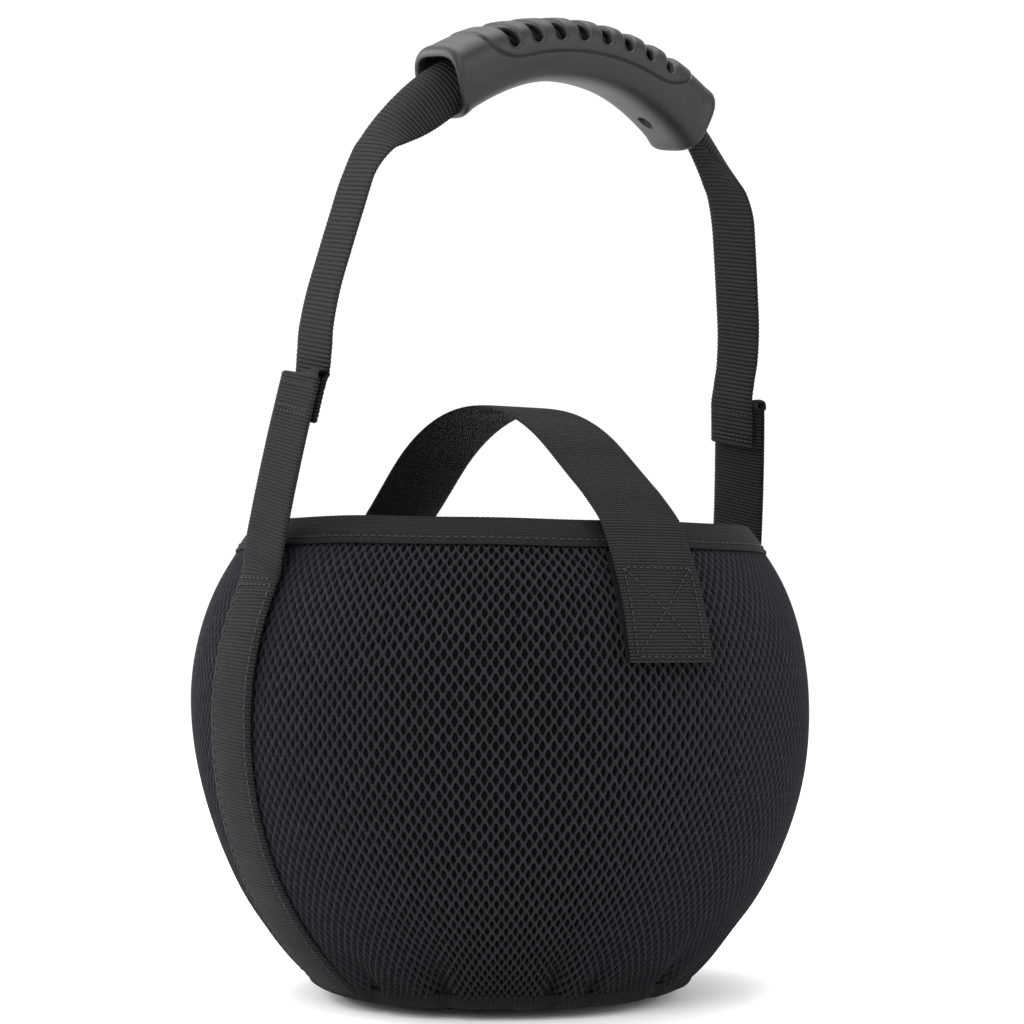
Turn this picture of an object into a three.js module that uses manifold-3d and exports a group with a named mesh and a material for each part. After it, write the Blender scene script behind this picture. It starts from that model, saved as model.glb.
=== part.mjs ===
// A carrier for one bowling ball: a round mesh pouch, a webbing handle with a moulded grip, and a
// closing strap that crosses the mouth and sticks to the front of the pouch.
// Millimetres, +Z up, front towards -Y, origin at the middle of the base.

import * as THREE from 'three';
import { mergeVertices } from 'three/addons/utils/BufferGeometryUtils.js';
import Module from 'manifold-3d';

const wasm = await Module();
wasm.setup();

// ---- driving dimensions ----

const BALL_RADIUS = 108;
const GAP = 0.3;
const DEGREE = Math.PI / 180;

// The pouch is round in plan. Its side is two quarter ellipses that meet at the widest height.
const WIDEST_RADIUS = 115.5;
const WIDEST_HEIGHT = 110;
const LOWER_REACH = 129;
const UPPER_REACH = 107;
const RIM_HEIGHT = 173.5;
const SEAM_HEIGHT = 9;
const PANEL_THICKNESS = 3;
const LINING_THICKNESS = 0.8;
const LINING_DEPTH = PANEL_THICKNESS + GAP;
const WALL_THICKNESS = LINING_DEPTH + LINING_THICKNESS;
const TURN_SEGMENTS = 48;

// The base is flat in the middle and rises towards its seam, as the ball presses it out.
const BASE_RADIUS = 60;
const BASE_FLAT_RADIUS = 44;
const BASE_RISE = 4;
const BASE_THICKNESS = 1.2;
const PAD_RADIUS = 57.5;
const PAD_THICKNESS = 1.6;
const BASE_BINDING_INNER = BASE_RADIUS + GAP;
const BASE_BINDING_LIFT = 3.8;
// The tape's rounded outer corner, as steps in from the seam's edge and up from its underside.
const BASE_BINDING_CORNER = [[4.5, 0], [1.8, 1.4], [0.5, 3.2]];
const BALL_CENTRE_HEIGHT = 110;

const BINDING_THICKNESS = 1;
const BINDING_CLEARANCE = 0.5;
const BINDING_DEPTH = 9;
const BINDING_BREAK = 16.5;
const BINDING_SHOULDER = 0.4;

const SIDE_WIDTH = 30;
const UPPER_WIDTH = 25;
const WEBBING_THICKNESS = 1.6;
const BAR_TACK_HEIGHT = 154;
const BAR_TACK_X = 106.2;
const BAR_TACK_Y = -8;
const HANDLE_LEAN = 11.6 * DEGREE;

// Heights along the handle are measured up from the bar tacks, in the leaning plane.
const SEWN_STRAP_END = 9.2;
const SWING_STRAP_START = 21.5;
const FOLD_HEIGHT = 71;
const HEM_LENGTH = 15;
const STRAP_TURN_HEIGHT = 148;
const STRAP_BEND_REACH = 24;
const MOUTH_CLEARANCE = 4;
const SETTLED_ABOVE_FOLD = 18;

const GRIP_ARC_RADIUS = 88;
const GRIP_ARC_HEIGHT = 196;
const GRIP_HALF_ANGLE = 36 * DEGREE;
const GRIP_WIDTH = 32;
const GRIP_THICKNESS = 23;
const GRIP_ROUNDING = 8;
const GRIP_RING_SEGMENTS = 72;
const COLLAR_GROWTH = 2;
const COLLAR_ANGLE = 3.4 * DEGREE;
const CHANNEL_WIDTH = 27;
const CHANNEL_HEIGHT = 6.4;
const COVER_HALF_ANGLE = 27 * DEGREE;
const SLOT_COUNT = 8;
const SLOT_PITCH = 5.8 * DEGREE;
const SLOT_WIDTH = 5;
const SLOT_LENGTH = 21;
const SCREW_ANGLE = 28 * DEGREE;
const SCREW_RADIUS = 2;
const SCREW_LENGTH = 4;
const SCREW_SINK = 1.2;

const CLOSING_WIDTH = 32;
// The closing strap crosses the mouth a little slantwise, its front end turned towards -X.
const CLOSING_SLANT = 4.4 * DEGREE;
const CLOSING_THICKNESS = 1.4;
const CLOSING_RIM_HEIGHT = 174;
const CROWN_RADIUS = BALL_RADIUS + GAP + CLOSING_THICKNESS / 2;
const ANCHOR_OFFSET = 3.6;
const ANCHOR_BOTTOM = 128;
const TAB_OFFSET = 3.9;
const TAB_BOTTOM = 125;
const JOINT_HALF_GAP = 0.3;
const PATCH_WIDTH = 30;
const LOOP_THICKNESS = 0.8;
const LOOP_BOTTOM = 124;
const LOOP_TOP = 161;
const HOOK_THICKNESS = 0.8;
const HOOK_BOTTOM = 127;
const HOOK_TOP = 156;

// ---- materials ----

function fabric(colour, roughness) {
  return new THREE.MeshStandardMaterial({ color: colour, roughness, metalness: 0 });
}

const MESH_FABRIC = fabric(0x232127, 0.9);
const LINING_FABRIC = fabric(0x151417, 0.85);
const WEBBING = fabric(0x29282c, 0.8);
const BINDING_TAPE = fabric(0x2b2a2e, 0.75);
const BASE_FABRIC = fabric(0x1c1b1e, 0.9);
const FOAM = fabric(0x303034, 0.95);
const PATCH = fabric(0x121214, 0.95);
const MOULDED_PLASTIC = new THREE.MeshStandardMaterial({ color: 0x1c1c21, roughness: 0.4, metalness: 0 });
const SCREW_STEEL = new THREE.MeshStandardMaterial({ color: 0x2a2a2c, roughness: 0.35, metalness: 0.9 });

// ---- solids ----

function toManifold(geometry) {
  const bare = geometry.clone();
  bare.deleteAttribute('normal');
  bare.deleteAttribute('uv');
  const merged = mergeVertices(bare, 1e-4);
  return new wasm.Manifold(new wasm.Mesh({
    numProp: 3,
    vertProperties: new Float32Array(merged.attributes.position.array),
    triVerts: new Uint32Array(merged.index.array),
  }));
}

function toGeometry(manifold) {
  const mesh = manifold.getMesh();
  const geometry = new THREE.BufferGeometry();
  geometry.setAttribute('position', new THREE.BufferAttribute(mesh.vertProperties, 3));
  geometry.setIndex(new THREE.BufferAttribute(mesh.triVerts, 1));
  geometry.computeVertexNormals();
  return geometry;
}

function cut(geometry, ...tools) {
  let solid = toManifold(geometry);
  for (const tool of tools) {
    solid = solid.subtract(toManifold(tool));
  }
  return toGeometry(solid);
}

function join(geometry, ...others) {
  let solid = toManifold(geometry);
  for (const other of others) {
    solid = solid.add(toManifold(other));
  }
  return toGeometry(solid);
}

function common(geometry, other) {
  return toGeometry(toManifold(geometry).intersect(toManifold(other)));
}

function box(low, high) {
  const size = new THREE.Vector3().subVectors(high, low);
  const middle = new THREE.Vector3().addVectors(low, high).multiplyScalar(0.5);
  return new THREE.BoxGeometry(size.x, size.y, size.z).translate(middle.x, middle.y, middle.z);
}

// An outline of (radius, height) points that closes on itself, turned about the vertical axis.
function turned(outline, segments = TURN_SEGMENTS) {
  const anticlockwise = THREE.ShapeUtils.area(outline) < 0 ? [...outline].reverse() : outline;
  const closed = [...anticlockwise, anticlockwise[0]];
  return new THREE.LatheGeometry(closed, segments).rotateX(Math.PI / 2);
}

// A (x, z) outline made into a slab of the given width along Y.
function slabAcrossY(outline, width) {
  const geometry = new THREE.ExtrudeGeometry(new THREE.Shape(outline), {
    depth: width,
    bevelEnabled: false,
    curveSegments: 6,
  });
  return geometry.rotateX(Math.PI / 2).translate(0, width / 2, 0);
}

// A (y, z) outline made into a slab of the given width along X.
function slabAcrossX(outline, width) {
  const geometry = new THREE.ExtrudeGeometry(new THREE.Shape(outline), {
    depth: width,
    bevelEnabled: false,
    curveSegments: 6,
  });
  const turn = new THREE.Matrix4().makeBasis(
    new THREE.Vector3(0, 1, 0),
    new THREE.Vector3(0, 0, 1),
    new THREE.Vector3(1, 0, 0),
  );
  return geometry.applyMatrix4(turn).translate(-width / 2, 0, 0);
}

// The side view of a flat strap of even thickness that follows a line of points.
function stripOutline(points, thickness) {
  const left = [];
  const right = [];
  points.forEach((point, index) => {
    const before = points[Math.max(index - 1, 0)];
    const after = points[Math.min(index + 1, points.length - 1)];
    const along = new THREE.Vector2().subVectors(after, before).normalize();
    const normal = new THREE.Vector2(-along.y, along.x);
    left.push(point.clone().addScaledVector(normal, thickness / 2));
    right.push(point.clone().addScaledVector(normal, -thickness / 2));
  });
  return [...left, ...right.reverse()];
}

// ---- the pouch's side curve ----

// The point (radius, height) that lies `offset` outside the pouch's outer surface at a height.
function profilePoint(height, offset) {
  const reach = height < WIDEST_HEIGHT ? LOWER_REACH : UPPER_REACH;
  const rise = (height - WIDEST_HEIGHT) / reach;
  const spread = Math.sqrt(1 - rise * rise);
  const normal = new THREE.Vector2(spread / WIDEST_RADIUS, rise / reach).normalize();
  return new THREE.Vector2(WIDEST_RADIUS * spread, height).addScaledVector(normal, offset);
}

function profileRun(bottom, top, offset, steps) {
  return Array.from({ length: steps + 1 }, (_, index) => (
    profilePoint(bottom + (top - bottom) * index / steps, offset)
  ));
}

// A layer of the wall between two heights, from `outer` to `inner`, both offsets from the surface.
function wallLayer(bottom, top, outer, inner, steps) {
  return turned([
    ...profileRun(bottom, top, outer, steps),
    ...profileRun(bottom, top, inner, steps).reverse(),
  ]);
}

// side is -1 for the front half and +1 for the back half; the cut stops `clear` short of the seam.
function halfOf(geometry, side, clear) {
  const reach = 2 * WIDEST_RADIUS;
  const near = side * clear;
  const far = side * reach;
  return common(geometry, box(
    new THREE.Vector3(-reach, Math.min(near, far), -reach),
    new THREE.Vector3(reach, Math.max(near, far), reach),
  ));
}

function meshPanel(side) {
  return halfOf(wallLayer(SEAM_HEIGHT, RIM_HEIGHT, 0, -PANEL_THICKNESS, 12), side, GAP / 2);
}

function lining(side) {
  const inner = -WALL_THICKNESS;
  return halfOf(wallLayer(SEAM_HEIGHT, RIM_HEIGHT, -LINING_DEPTH, inner, 12), side, GAP / 2);
}

// Tape folded over the rim: an outer leg, a top and an inner leg round the panel and the lining.
function rimBinding(side) {
  const outer = BINDING_CLEARANCE + BINDING_THICKNESS;
  const inner = -(WALL_THICKNESS + outer);
  const bottom = RIM_HEIGHT - BINDING_DEPTH;
  const lift = GAP + BINDING_THICKNESS;
  const outline = [
    ...profileRun(bottom, RIM_HEIGHT, outer, 2),
    profilePoint(RIM_HEIGHT, outer - BINDING_SHOULDER).add(new THREE.Vector2(0, lift)),
    profilePoint(RIM_HEIGHT, inner + BINDING_SHOULDER).add(new THREE.Vector2(0, lift)),
    ...profileRun(bottom, RIM_HEIGHT, inner, 2).reverse(),
    ...profileRun(bottom, RIM_HEIGHT, inner + BINDING_THICKNESS, 2),
    profilePoint(RIM_HEIGHT, inner + BINDING_THICKNESS).add(new THREE.Vector2(0, GAP)),
    profilePoint(RIM_HEIGHT, BINDING_CLEARANCE).add(new THREE.Vector2(0, GAP)),
    ...profileRun(bottom, RIM_HEIGHT, BINDING_CLEARANCE, 2).reverse(),
  ];
  return halfOf(turned(outline), side, BINDING_BREAK);
}

// A round sheet that is flat in the middle and rises towards its edge at the slope of the base.
function dish(radius, bottom, thickness) {
  const slope = BASE_RISE / (BASE_RADIUS - BASE_FLAT_RADIUS);
  const edge = bottom + slope * (radius - BASE_FLAT_RADIUS);
  return turned([
    new THREE.Vector2(0, bottom),
    new THREE.Vector2(BASE_FLAT_RADIUS, bottom),
    new THREE.Vector2(radius, edge),
    new THREE.Vector2(radius, edge + thickness),
    new THREE.Vector2(BASE_FLAT_RADIUS, bottom + thickness),
    new THREE.Vector2(0, bottom + thickness),
  ]);
}

// Tape that wraps the seam between the wall and the base panel.
function baseBinding() {
  const top = SEAM_HEIGHT - GAP;
  const edge = profilePoint(SEAM_HEIGHT, 0).x;
  const corner = BASE_BINDING_CORNER.map(([inward, up]) => (
    new THREE.Vector2(edge - inward, BASE_BINDING_LIFT + up)
  ));
  return turned([
    new THREE.Vector2(BASE_BINDING_INNER, BASE_BINDING_LIFT),
    ...corner,
    new THREE.Vector2(corner.at(-1).x, top),
    new THREE.Vector2(BASE_BINDING_INNER, top),
  ]);
}

// ---- side webbing and handle straps, drawn for the +X side ----

// Distance of the free strap from the middle plane, at a height along the handle.
function strapX(along) {
  return BAR_TACK_X - 0.079 * along - 0.00058 * along * along;
}

function strapPoint(along, inward = 0) {
  return new THREE.Vector2(strapX(along) - inward, along);
}

function strapRun(from, to, steps, inward = 0) {
  return Array.from({ length: steps + 1 }, (_, index) => (
    strapPoint(from + (to - from) * index / steps, inward)
  ));
}

// The webbing sewn down the side seam, with the short free end that the swinging part joins.
function sideWebbing() {
  const lift = GAP + WEBBING_THICKNESS / 2;
  const sewn = profileRun(SEAM_HEIGHT + 1, BAR_TACK_HEIGHT - 4, lift, 12);
  const free = strapPoint(SEWN_STRAP_END);
  free.y += BAR_TACK_HEIGHT;
  return slabAcrossY(stripOutline([...sewn, free], WEBBING_THICKNESS), SIDE_WIDTH);
}

// The lower strap runs up to a fold and back down inside itself as a short hem.
function lowerStrap() {
  const spacing = WEBBING_THICKNESS + GAP;
  const top = strapPoint(FOLD_HEIGHT, spacing / 2);
  const fold = [60, 90, 120].map((degrees) => new THREE.Vector2(
    top.x + Math.cos(degrees * DEGREE) * spacing / 2,
    top.y + Math.sin(degrees * DEGREE) * spacing / 2,
  ));
  const path = [
    ...strapRun(SWING_STRAP_START, FOLD_HEIGHT, 5),
    ...fold,
    ...strapRun(FOLD_HEIGHT, FOLD_HEIGHT - HEM_LENGTH, 2, spacing),
  ];
  return slabAcrossY(stripOutline(path, WEBBING_THICKNESS), SIDE_WIDTH);
}

// The upper strap starts inside the hem and turns in towards the mouth of the grip.
function upperStrap() {
  const layer = WEBBING_THICKNESS + GAP;
  const arcCentre = GRIP_ARC_HEIGHT - GRIP_ARC_RADIUS;
  const mouth = new THREE.Vector2(
    GRIP_ARC_RADIUS * Math.sin(GRIP_HALF_ANGLE),
    arcCentre + GRIP_ARC_RADIUS * Math.cos(GRIP_HALF_ANGLE),
  );
  const leaving = new THREE.Vector2(Math.cos(GRIP_HALF_ANGLE), -Math.sin(GRIP_HALF_ANGLE));
  const start = strapPoint(STRAP_TURN_HEIGHT);
  const end = mouth.clone().addScaledVector(leaving, MOUTH_CLEARANCE);
  const corner = mouth.clone().addScaledVector(leaving, STRAP_BEND_REACH);
  const bend = new THREE.QuadraticBezierCurve(start, corner, end);
  const path = [
    ...strapRun(FOLD_HEIGHT - HEM_LENGTH + 1, FOLD_HEIGHT + 3, 2, 2 * layer),
    ...strapRun(FOLD_HEIGHT + SETTLED_ABOVE_FOLD, STRAP_TURN_HEIGHT - 12, 3),
    ...bend.getPoints(5),
  ];
  return slabAcrossY(stripOutline(path, WEBBING_THICKNESS), UPPER_WIDTH);
}

function mirrored(geometry) {
  const flipped = geometry.clone().scale(-1, 1, 1);
  const positions = flipped.attributes.position;
  const first = new THREE.Vector3();
  const last = new THREE.Vector3();
  for (let corner = 0; corner < positions.count; corner += 3) {
    first.fromBufferAttribute(positions, corner);
    last.fromBufferAttribute(positions, corner + 2);
    positions.setXYZ(corner, last.x, last.y, last.z);
    positions.setXYZ(corner + 2, first.x, first.y, first.z);
  }
  flipped.computeVertexNormals();
  return flipped;
}

// ---- grip ----

// A rounded section, given as (distance from the arc's centre, fore and aft), swept round the arc.
function gripRing(inner, outer, width, rounding, divisions) {
  const section = new THREE.Shape();
  const half = width / 2;
  const corners = [
    [outer - rounding, half - rounding, 0],
    [inner + rounding, half - rounding, 90],
    [inner + rounding, rounding - half, 180],
    [outer - rounding, rounding - half, 270],
  ];
  for (const [x, y, start] of corners) {
    section.absarc(x, y, rounding, start * DEGREE, (start + 90) * DEGREE, false);
  }
  const outline = section.getPoints(divisions);
  const closed = [...outline, outline[0]];
  const ring = new THREE.LatheGeometry(closed, GRIP_RING_SEGMENTS);
  return ring.translate(0, 0, GRIP_ARC_HEIGHT - GRIP_ARC_RADIUS);
}

// The wedge between two angles from the vertical, seen from the front of the arc.
function gripWedge(from, to) {
  const reach = 2 * GRIP_ARC_RADIUS;
  const centre = GRIP_ARC_HEIGHT - GRIP_ARC_RADIUS;
  const corner = (angle) => new THREE.Vector2(
    reach * Math.sin(angle),
    centre + reach * Math.cos(angle),
  );
  return slabAcrossY([new THREE.Vector2(0, centre), corner(to), corner(from)], 3 * GRIP_WIDTH);
}

// Moves a piece made on the arc's centre line at its top round to an angle.
function placedOnArc(geometry, angle) {
  const centre = GRIP_ARC_HEIGHT - GRIP_ARC_RADIUS;
  return geometry.translate(0, 0, GRIP_ARC_RADIUS).rotateY(angle).translate(0, 0, centre);
}

function gripShell(from, to, growth) {
  const half = GRIP_THICKNESS / 2 + growth;
  const ring = gripRing(
    GRIP_ARC_RADIUS - half,
    GRIP_ARC_RADIUS + half,
    GRIP_WIDTH + 2 * growth,
    GRIP_ROUNDING,
    2,
  );
  return common(ring, gripWedge(from, to));
}

function gripChannel() {
  const half = CHANNEL_HEIGHT / 2;
  return gripRing(GRIP_ARC_RADIUS - half, GRIP_ARC_RADIUS + half, CHANNEL_WIDTH, 0.5, 1);
}

// Everything above the joint between body and cover, over the length of the cover.
function coverSpace(clear) {
  const start = GRIP_ARC_RADIUS + CHANNEL_HEIGHT / 2 + GAP - clear;
  const half = COVER_HALF_ANGLE + clear / GRIP_ARC_RADIUS;
  const ring = gripRing(start, GRIP_ARC_RADIUS + GRIP_THICKNESS, 2 * GRIP_WIDTH, 0.5, 1);
  return common(ring, gripWedge(-half, half));
}

function screwHole(angle) {
  const depth = SCREW_LENGTH + SCREW_SINK + GAP;
  const hole = new THREE.CylinderGeometry(SCREW_RADIUS + GAP, SCREW_RADIUS + GAP, 2 * depth, 16)
    .rotateX(Math.PI / 2)
    .translate(0, 0, -GRIP_THICKNESS / 2);
  return placedOnArc(hole, angle);
}

function gripBody() {
  const shell = gripShell(-GRIP_HALF_ANGLE, GRIP_HALF_ANGLE, 0);
  const collars = [-1, 1].map((side) => {
    const outer = side * GRIP_HALF_ANGLE;
    const inner = side * (GRIP_HALF_ANGLE - COLLAR_ANGLE);
    return gripShell(Math.min(outer, inner), Math.max(outer, inner), COLLAR_GROWTH);
  });
  return cut(
    join(shell, ...collars),
    gripChannel(),
    coverSpace(GAP),
    screwHole(-SCREW_ANGLE),
    screwHole(SCREW_ANGLE),
  );
}

function gripCover() {
  const shell = gripShell(-COVER_HALF_ANGLE, COVER_HALF_ANGLE, 0);
  const slots = Array.from({ length: SLOT_COUNT }, (_, index) => {
    const angle = (index - (SLOT_COUNT - 1) / 2) * SLOT_PITCH;
    const slot = new THREE.BoxGeometry(SLOT_WIDTH, SLOT_LENGTH, GRIP_THICKNESS)
      .translate(0, 0, GRIP_THICKNESS / 2);
    return placedOnArc(slot, angle);
  });
  return cut(common(shell, coverSpace(0)), ...slots);
}

function gripWebbing() {
  const half = WEBBING_THICKNESS / 2;
  const ring = gripRing(GRIP_ARC_RADIUS - half, GRIP_ARC_RADIUS + half, UPPER_WIDTH, 0.2, 1);
  return common(ring, gripWedge(-GRIP_HALF_ANGLE, GRIP_HALF_ANGLE));
}

function gripScrew(angle) {
  const centre = -GRIP_THICKNESS / 2 + SCREW_SINK + SCREW_LENGTH / 2;
  const screw = new THREE.CylinderGeometry(SCREW_RADIUS, SCREW_RADIUS, SCREW_LENGTH, 16)
    .rotateX(Math.PI / 2)
    .translate(0, 0, centre);
  return placedOnArc(screw, angle);
}

// ---- closing strap, as (y, z) lines with the front at -y ----

function onSide(points, side) {
  return points.map((point) => new THREE.Vector2(side * point.x, point.y));
}

// From the rim up to the top of the crown: straight off the rim, then round the ball.
function crownHalf(side, offset) {
  const rim = profilePoint(CLOSING_RIM_HEIGHT, offset);
  const distance = Math.hypot(rim.x, rim.y - BALL_CENTRE_HEIGHT);
  const rimAngle = Math.atan2(rim.x, rim.y - BALL_CENTRE_HEIGHT);
  const touch = rimAngle - Math.acos(CROWN_RADIUS / distance);
  const top = JOINT_HALF_GAP / CROWN_RADIUS;
  const steps = 5;
  const arc = Array.from({ length: steps + 1 }, (_, index) => {
    const angle = touch + (top - touch) * index / steps;
    return new THREE.Vector2(
      CROWN_RADIUS * Math.sin(angle),
      BALL_CENTRE_HEIGHT + CROWN_RADIUS * Math.cos(angle),
    );
  });
  const leaving = new THREE.Vector2().subVectors(arc[0], rim).normalize();
  const start = rim.clone().addScaledVector(leaving, JOINT_HALF_GAP);
  const outline = stripOutline(onSide([start, ...arc], side), CLOSING_THICKNESS);
  return slabAcrossX(outline, CLOSING_WIDTH);
}

function strapOnPanel(side, bottom, offset) {
  const top = CLOSING_RIM_HEIGHT - 2 * JOINT_HALF_GAP;
  const line = onSide(profileRun(bottom, top, offset, 5), side);
  return slabAcrossX(stripOutline(line, CLOSING_THICKNESS), CLOSING_WIDTH);
}

function patchOnFront(bottom, top, offset, thickness) {
  const line = onSide(profileRun(bottom, top, offset + thickness / 2, 3), -1);
  return slabAcrossX(stripOutline(line, thickness), PATCH_WIDTH);
}

// The loop patch lies against a round wall, so it is cut from a layer of the same curve.
function loopPatch() {
  const layer = wallLayer(LOOP_BOTTOM, LOOP_TOP, GAP + LOOP_THICKNESS, GAP, 3);
  const front = box(
    new THREE.Vector3(-PATCH_WIDTH / 2, -2 * WIDEST_RADIUS, 0),
    new THREE.Vector3(PATCH_WIDTH / 2, 0, RIM_HEIGHT),
  );
  return common(layer, front.rotateZ(-CLOSING_SLANT));
}

// ---- assembly ----

function addPiece(parent, name, geometry, material) {
  const mesh = new THREE.Mesh(geometry, material.clone());
  mesh.name = name;
  parent.add(mesh);
}

function pouch() {
  const group = new THREE.Group();
  addPiece(group, 'base_panel', dish(BASE_RADIUS, 0, BASE_THICKNESS), BASE_FABRIC);
  addPiece(group, 'base_pad', dish(PAD_RADIUS, BASE_THICKNESS + GAP, PAD_THICKNESS), FOAM);
  addPiece(group, 'base_binding', baseBinding(), BINDING_TAPE);
  addPiece(group, 'front_mesh_panel', meshPanel(-1), MESH_FABRIC);
  addPiece(group, 'back_mesh_panel', meshPanel(1), MESH_FABRIC);
  addPiece(group, 'front_lining', lining(-1), LINING_FABRIC);
  addPiece(group, 'back_lining', lining(1), LINING_FABRIC);
  addPiece(group, 'rim_binding_front', rimBinding(-1), BINDING_TAPE);
  addPiece(group, 'rim_binding_back', rimBinding(1), BINDING_TAPE);
  addPiece(group, 'side_webbing_right', sideWebbing(), WEBBING);
  addPiece(group, 'side_webbing_left', mirrored(sideWebbing()), WEBBING);
  addPiece(group, 'loop_patch', loopPatch(), PATCH);
  return group;
}

function handle() {
  const group = new THREE.Group();
  group.position.set(0, BAR_TACK_Y, BAR_TACK_HEIGHT);
  group.rotation.x = HANDLE_LEAN;
  addPiece(group, 'lower_strap_right', lowerStrap(), WEBBING);
  addPiece(group, 'lower_strap_left', mirrored(lowerStrap()), WEBBING);
  addPiece(group, 'upper_strap_right', upperStrap(), WEBBING);
  addPiece(group, 'upper_strap_left', mirrored(upperStrap()), WEBBING);
  addPiece(group, 'grip_body', gripBody(), MOULDED_PLASTIC);
  addPiece(group, 'grip_cover', gripCover(), MOULDED_PLASTIC);
  addPiece(group, 'grip_webbing', gripWebbing(), WEBBING);
  addPiece(group, 'grip_screw_right', gripScrew(SCREW_ANGLE), SCREW_STEEL);
  addPiece(group, 'grip_screw_left', gripScrew(-SCREW_ANGLE), SCREW_STEEL);
  return group;
}

function closingStrap() {
  const group = new THREE.Group();
  group.rotation.z = -CLOSING_SLANT;
  const hookOffset = TAB_OFFSET - CLOSING_THICKNESS / 2 - GAP - HOOK_THICKNESS;
  const hookPatch = patchOnFront(HOOK_BOTTOM, HOOK_TOP, hookOffset, HOOK_THICKNESS);
  addPiece(group, 'closing_strap_anchor', strapOnPanel(1, ANCHOR_BOTTOM, ANCHOR_OFFSET), WEBBING);
  addPiece(group, 'closing_strap_rear', crownHalf(1, ANCHOR_OFFSET), WEBBING);
  addPiece(group, 'closing_strap_front', crownHalf(-1, TAB_OFFSET), WEBBING);
  addPiece(group, 'closing_strap_tab', strapOnPanel(-1, TAB_BOTTOM, TAB_OFFSET), WEBBING);
  addPiece(group, 'hook_patch', hookPatch, PATCH);
  return group;
}

const ballBag = new THREE.Group();
ballBag.add(pouch(), handle(), closingStrap());

export default ballBag;
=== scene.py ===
# The looks of the bowling ball bag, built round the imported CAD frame.
# Shapes are worked out in millimetres, in the frame's own axes, and stored in metres.

import math

import bpy
import numpy as np
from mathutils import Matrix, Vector


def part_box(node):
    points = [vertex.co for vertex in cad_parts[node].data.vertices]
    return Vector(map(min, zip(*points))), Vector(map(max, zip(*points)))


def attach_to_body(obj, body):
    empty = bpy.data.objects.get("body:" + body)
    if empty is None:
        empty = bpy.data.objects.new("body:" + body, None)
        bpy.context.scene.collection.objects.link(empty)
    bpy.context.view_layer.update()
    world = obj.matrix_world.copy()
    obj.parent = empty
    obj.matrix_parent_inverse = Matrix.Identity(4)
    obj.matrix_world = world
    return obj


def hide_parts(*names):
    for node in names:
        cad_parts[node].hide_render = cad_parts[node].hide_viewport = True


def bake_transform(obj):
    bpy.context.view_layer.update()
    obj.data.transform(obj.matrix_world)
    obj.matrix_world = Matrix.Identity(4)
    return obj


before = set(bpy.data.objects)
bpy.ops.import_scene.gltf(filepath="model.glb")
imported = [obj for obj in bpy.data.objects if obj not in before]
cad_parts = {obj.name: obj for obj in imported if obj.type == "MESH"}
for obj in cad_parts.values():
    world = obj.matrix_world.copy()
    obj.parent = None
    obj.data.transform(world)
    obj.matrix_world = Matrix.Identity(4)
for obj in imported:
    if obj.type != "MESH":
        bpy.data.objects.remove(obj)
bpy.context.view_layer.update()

MM = 0.001
TAU = 2 * math.pi
RNG = np.random.default_rng(7)


def node_box(name):
    """The lowest and highest corner of a CAD node, in millimetres."""
    low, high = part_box(name)
    return np.array(low) / MM, np.array(high) / MM


# ---- driving dimensions, the same as the solids' ----

_, PANEL_HIGH = node_box("front_mesh_panel")
WIDEST_RADIUS = PANEL_HIGH[0]
WIDEST_HEIGHT = 110.0
LOWER_REACH = 129.0
UPPER_REACH = 107.0
RIM_HEIGHT = 173.5
SEAM_HEIGHT = 9.0
PANEL_THICKNESS = 3.0
WALL_THICKNESS = 4.1

BAR_TACK_HEIGHT = 154.0
BAR_TACK_X = 106.2
BAR_TACK_Y = -8.0
HANDLE_LEAN = math.radians(11.6)
SIDE_WIDTH = 30.0
UPPER_WIDTH = 25.0
WEBBING_THICKNESS = 1.6
WEBBING_LAYER = WEBBING_THICKNESS + 0.35     # from one layer of the hem to the next
FOLD_HEIGHT = 71.0
HEM_LENGTH = 15.0
STRAP_TURN_HEIGHT = 148.0
STRAP_BEND_REACH = 24.0

GRIP_ARC_RADIUS = 88.0
GRIP_ARC_HEIGHT = 196.0
GRIP_HALF_ANGLE = math.radians(36)
GRIP_WIDTH = 32.0
GRIP_THICKNESS = 23.0

CLOSING_WIDTH = 32.0
CLOSING_SLANT = math.radians(4.4)
CLOSING_THICKNESS = 1.4
CLOSING_RIM_HEIGHT = 174.0
CROWN_RADIUS = 109.0
BALL_CENTRE_HEIGHT = 110.0
ANCHOR_OFFSET = 3.6
ANCHOR_BOTTOM = 128.0
TAB_OFFSET = 3.9
TAB_BOTTOM = 123.6


# ---- camera ----

VIEW_AZIMUTH = math.radians(-33)
CAMERA_DISTANCE = 870.0
CAMERA_HEIGHT = 131.0
CAMERA_PITCH = math.radians(3.23)
CAMERA_YAW = math.radians(-0.27)
FIELD_OF_VIEW = math.radians(25.08)


def add_camera():
    """The camera at the photograph's height, direction and distance."""
    data = bpy.data.cameras.new("camera")
    data.angle = FIELD_OF_VIEW
    camera = bpy.data.objects.new("camera", data)
    bpy.context.scene.collection.objects.link(camera)
    camera.location = (
        math.sin(VIEW_AZIMUTH) * CAMERA_DISTANCE * MM,
        -math.cos(VIEW_AZIMUTH) * CAMERA_DISTANCE * MM,
        CAMERA_HEIGHT * MM,
    )
    camera.rotation_euler = (math.pi / 2 + CAMERA_PITCH, 0, VIEW_AZIMUTH + CAMERA_YAW)
    bpy.context.scene.camera = camera


add_camera()


# ---- small maths ----

def smoothstep(low, high, value):
    t = np.clip((value - low) / (high - low), 0.0, 1.0)
    return t * t * (3 - 2 * t)


def unit(vectors):
    return vectors / np.linalg.norm(vectors, axis=-1, keepdims=True)


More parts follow.
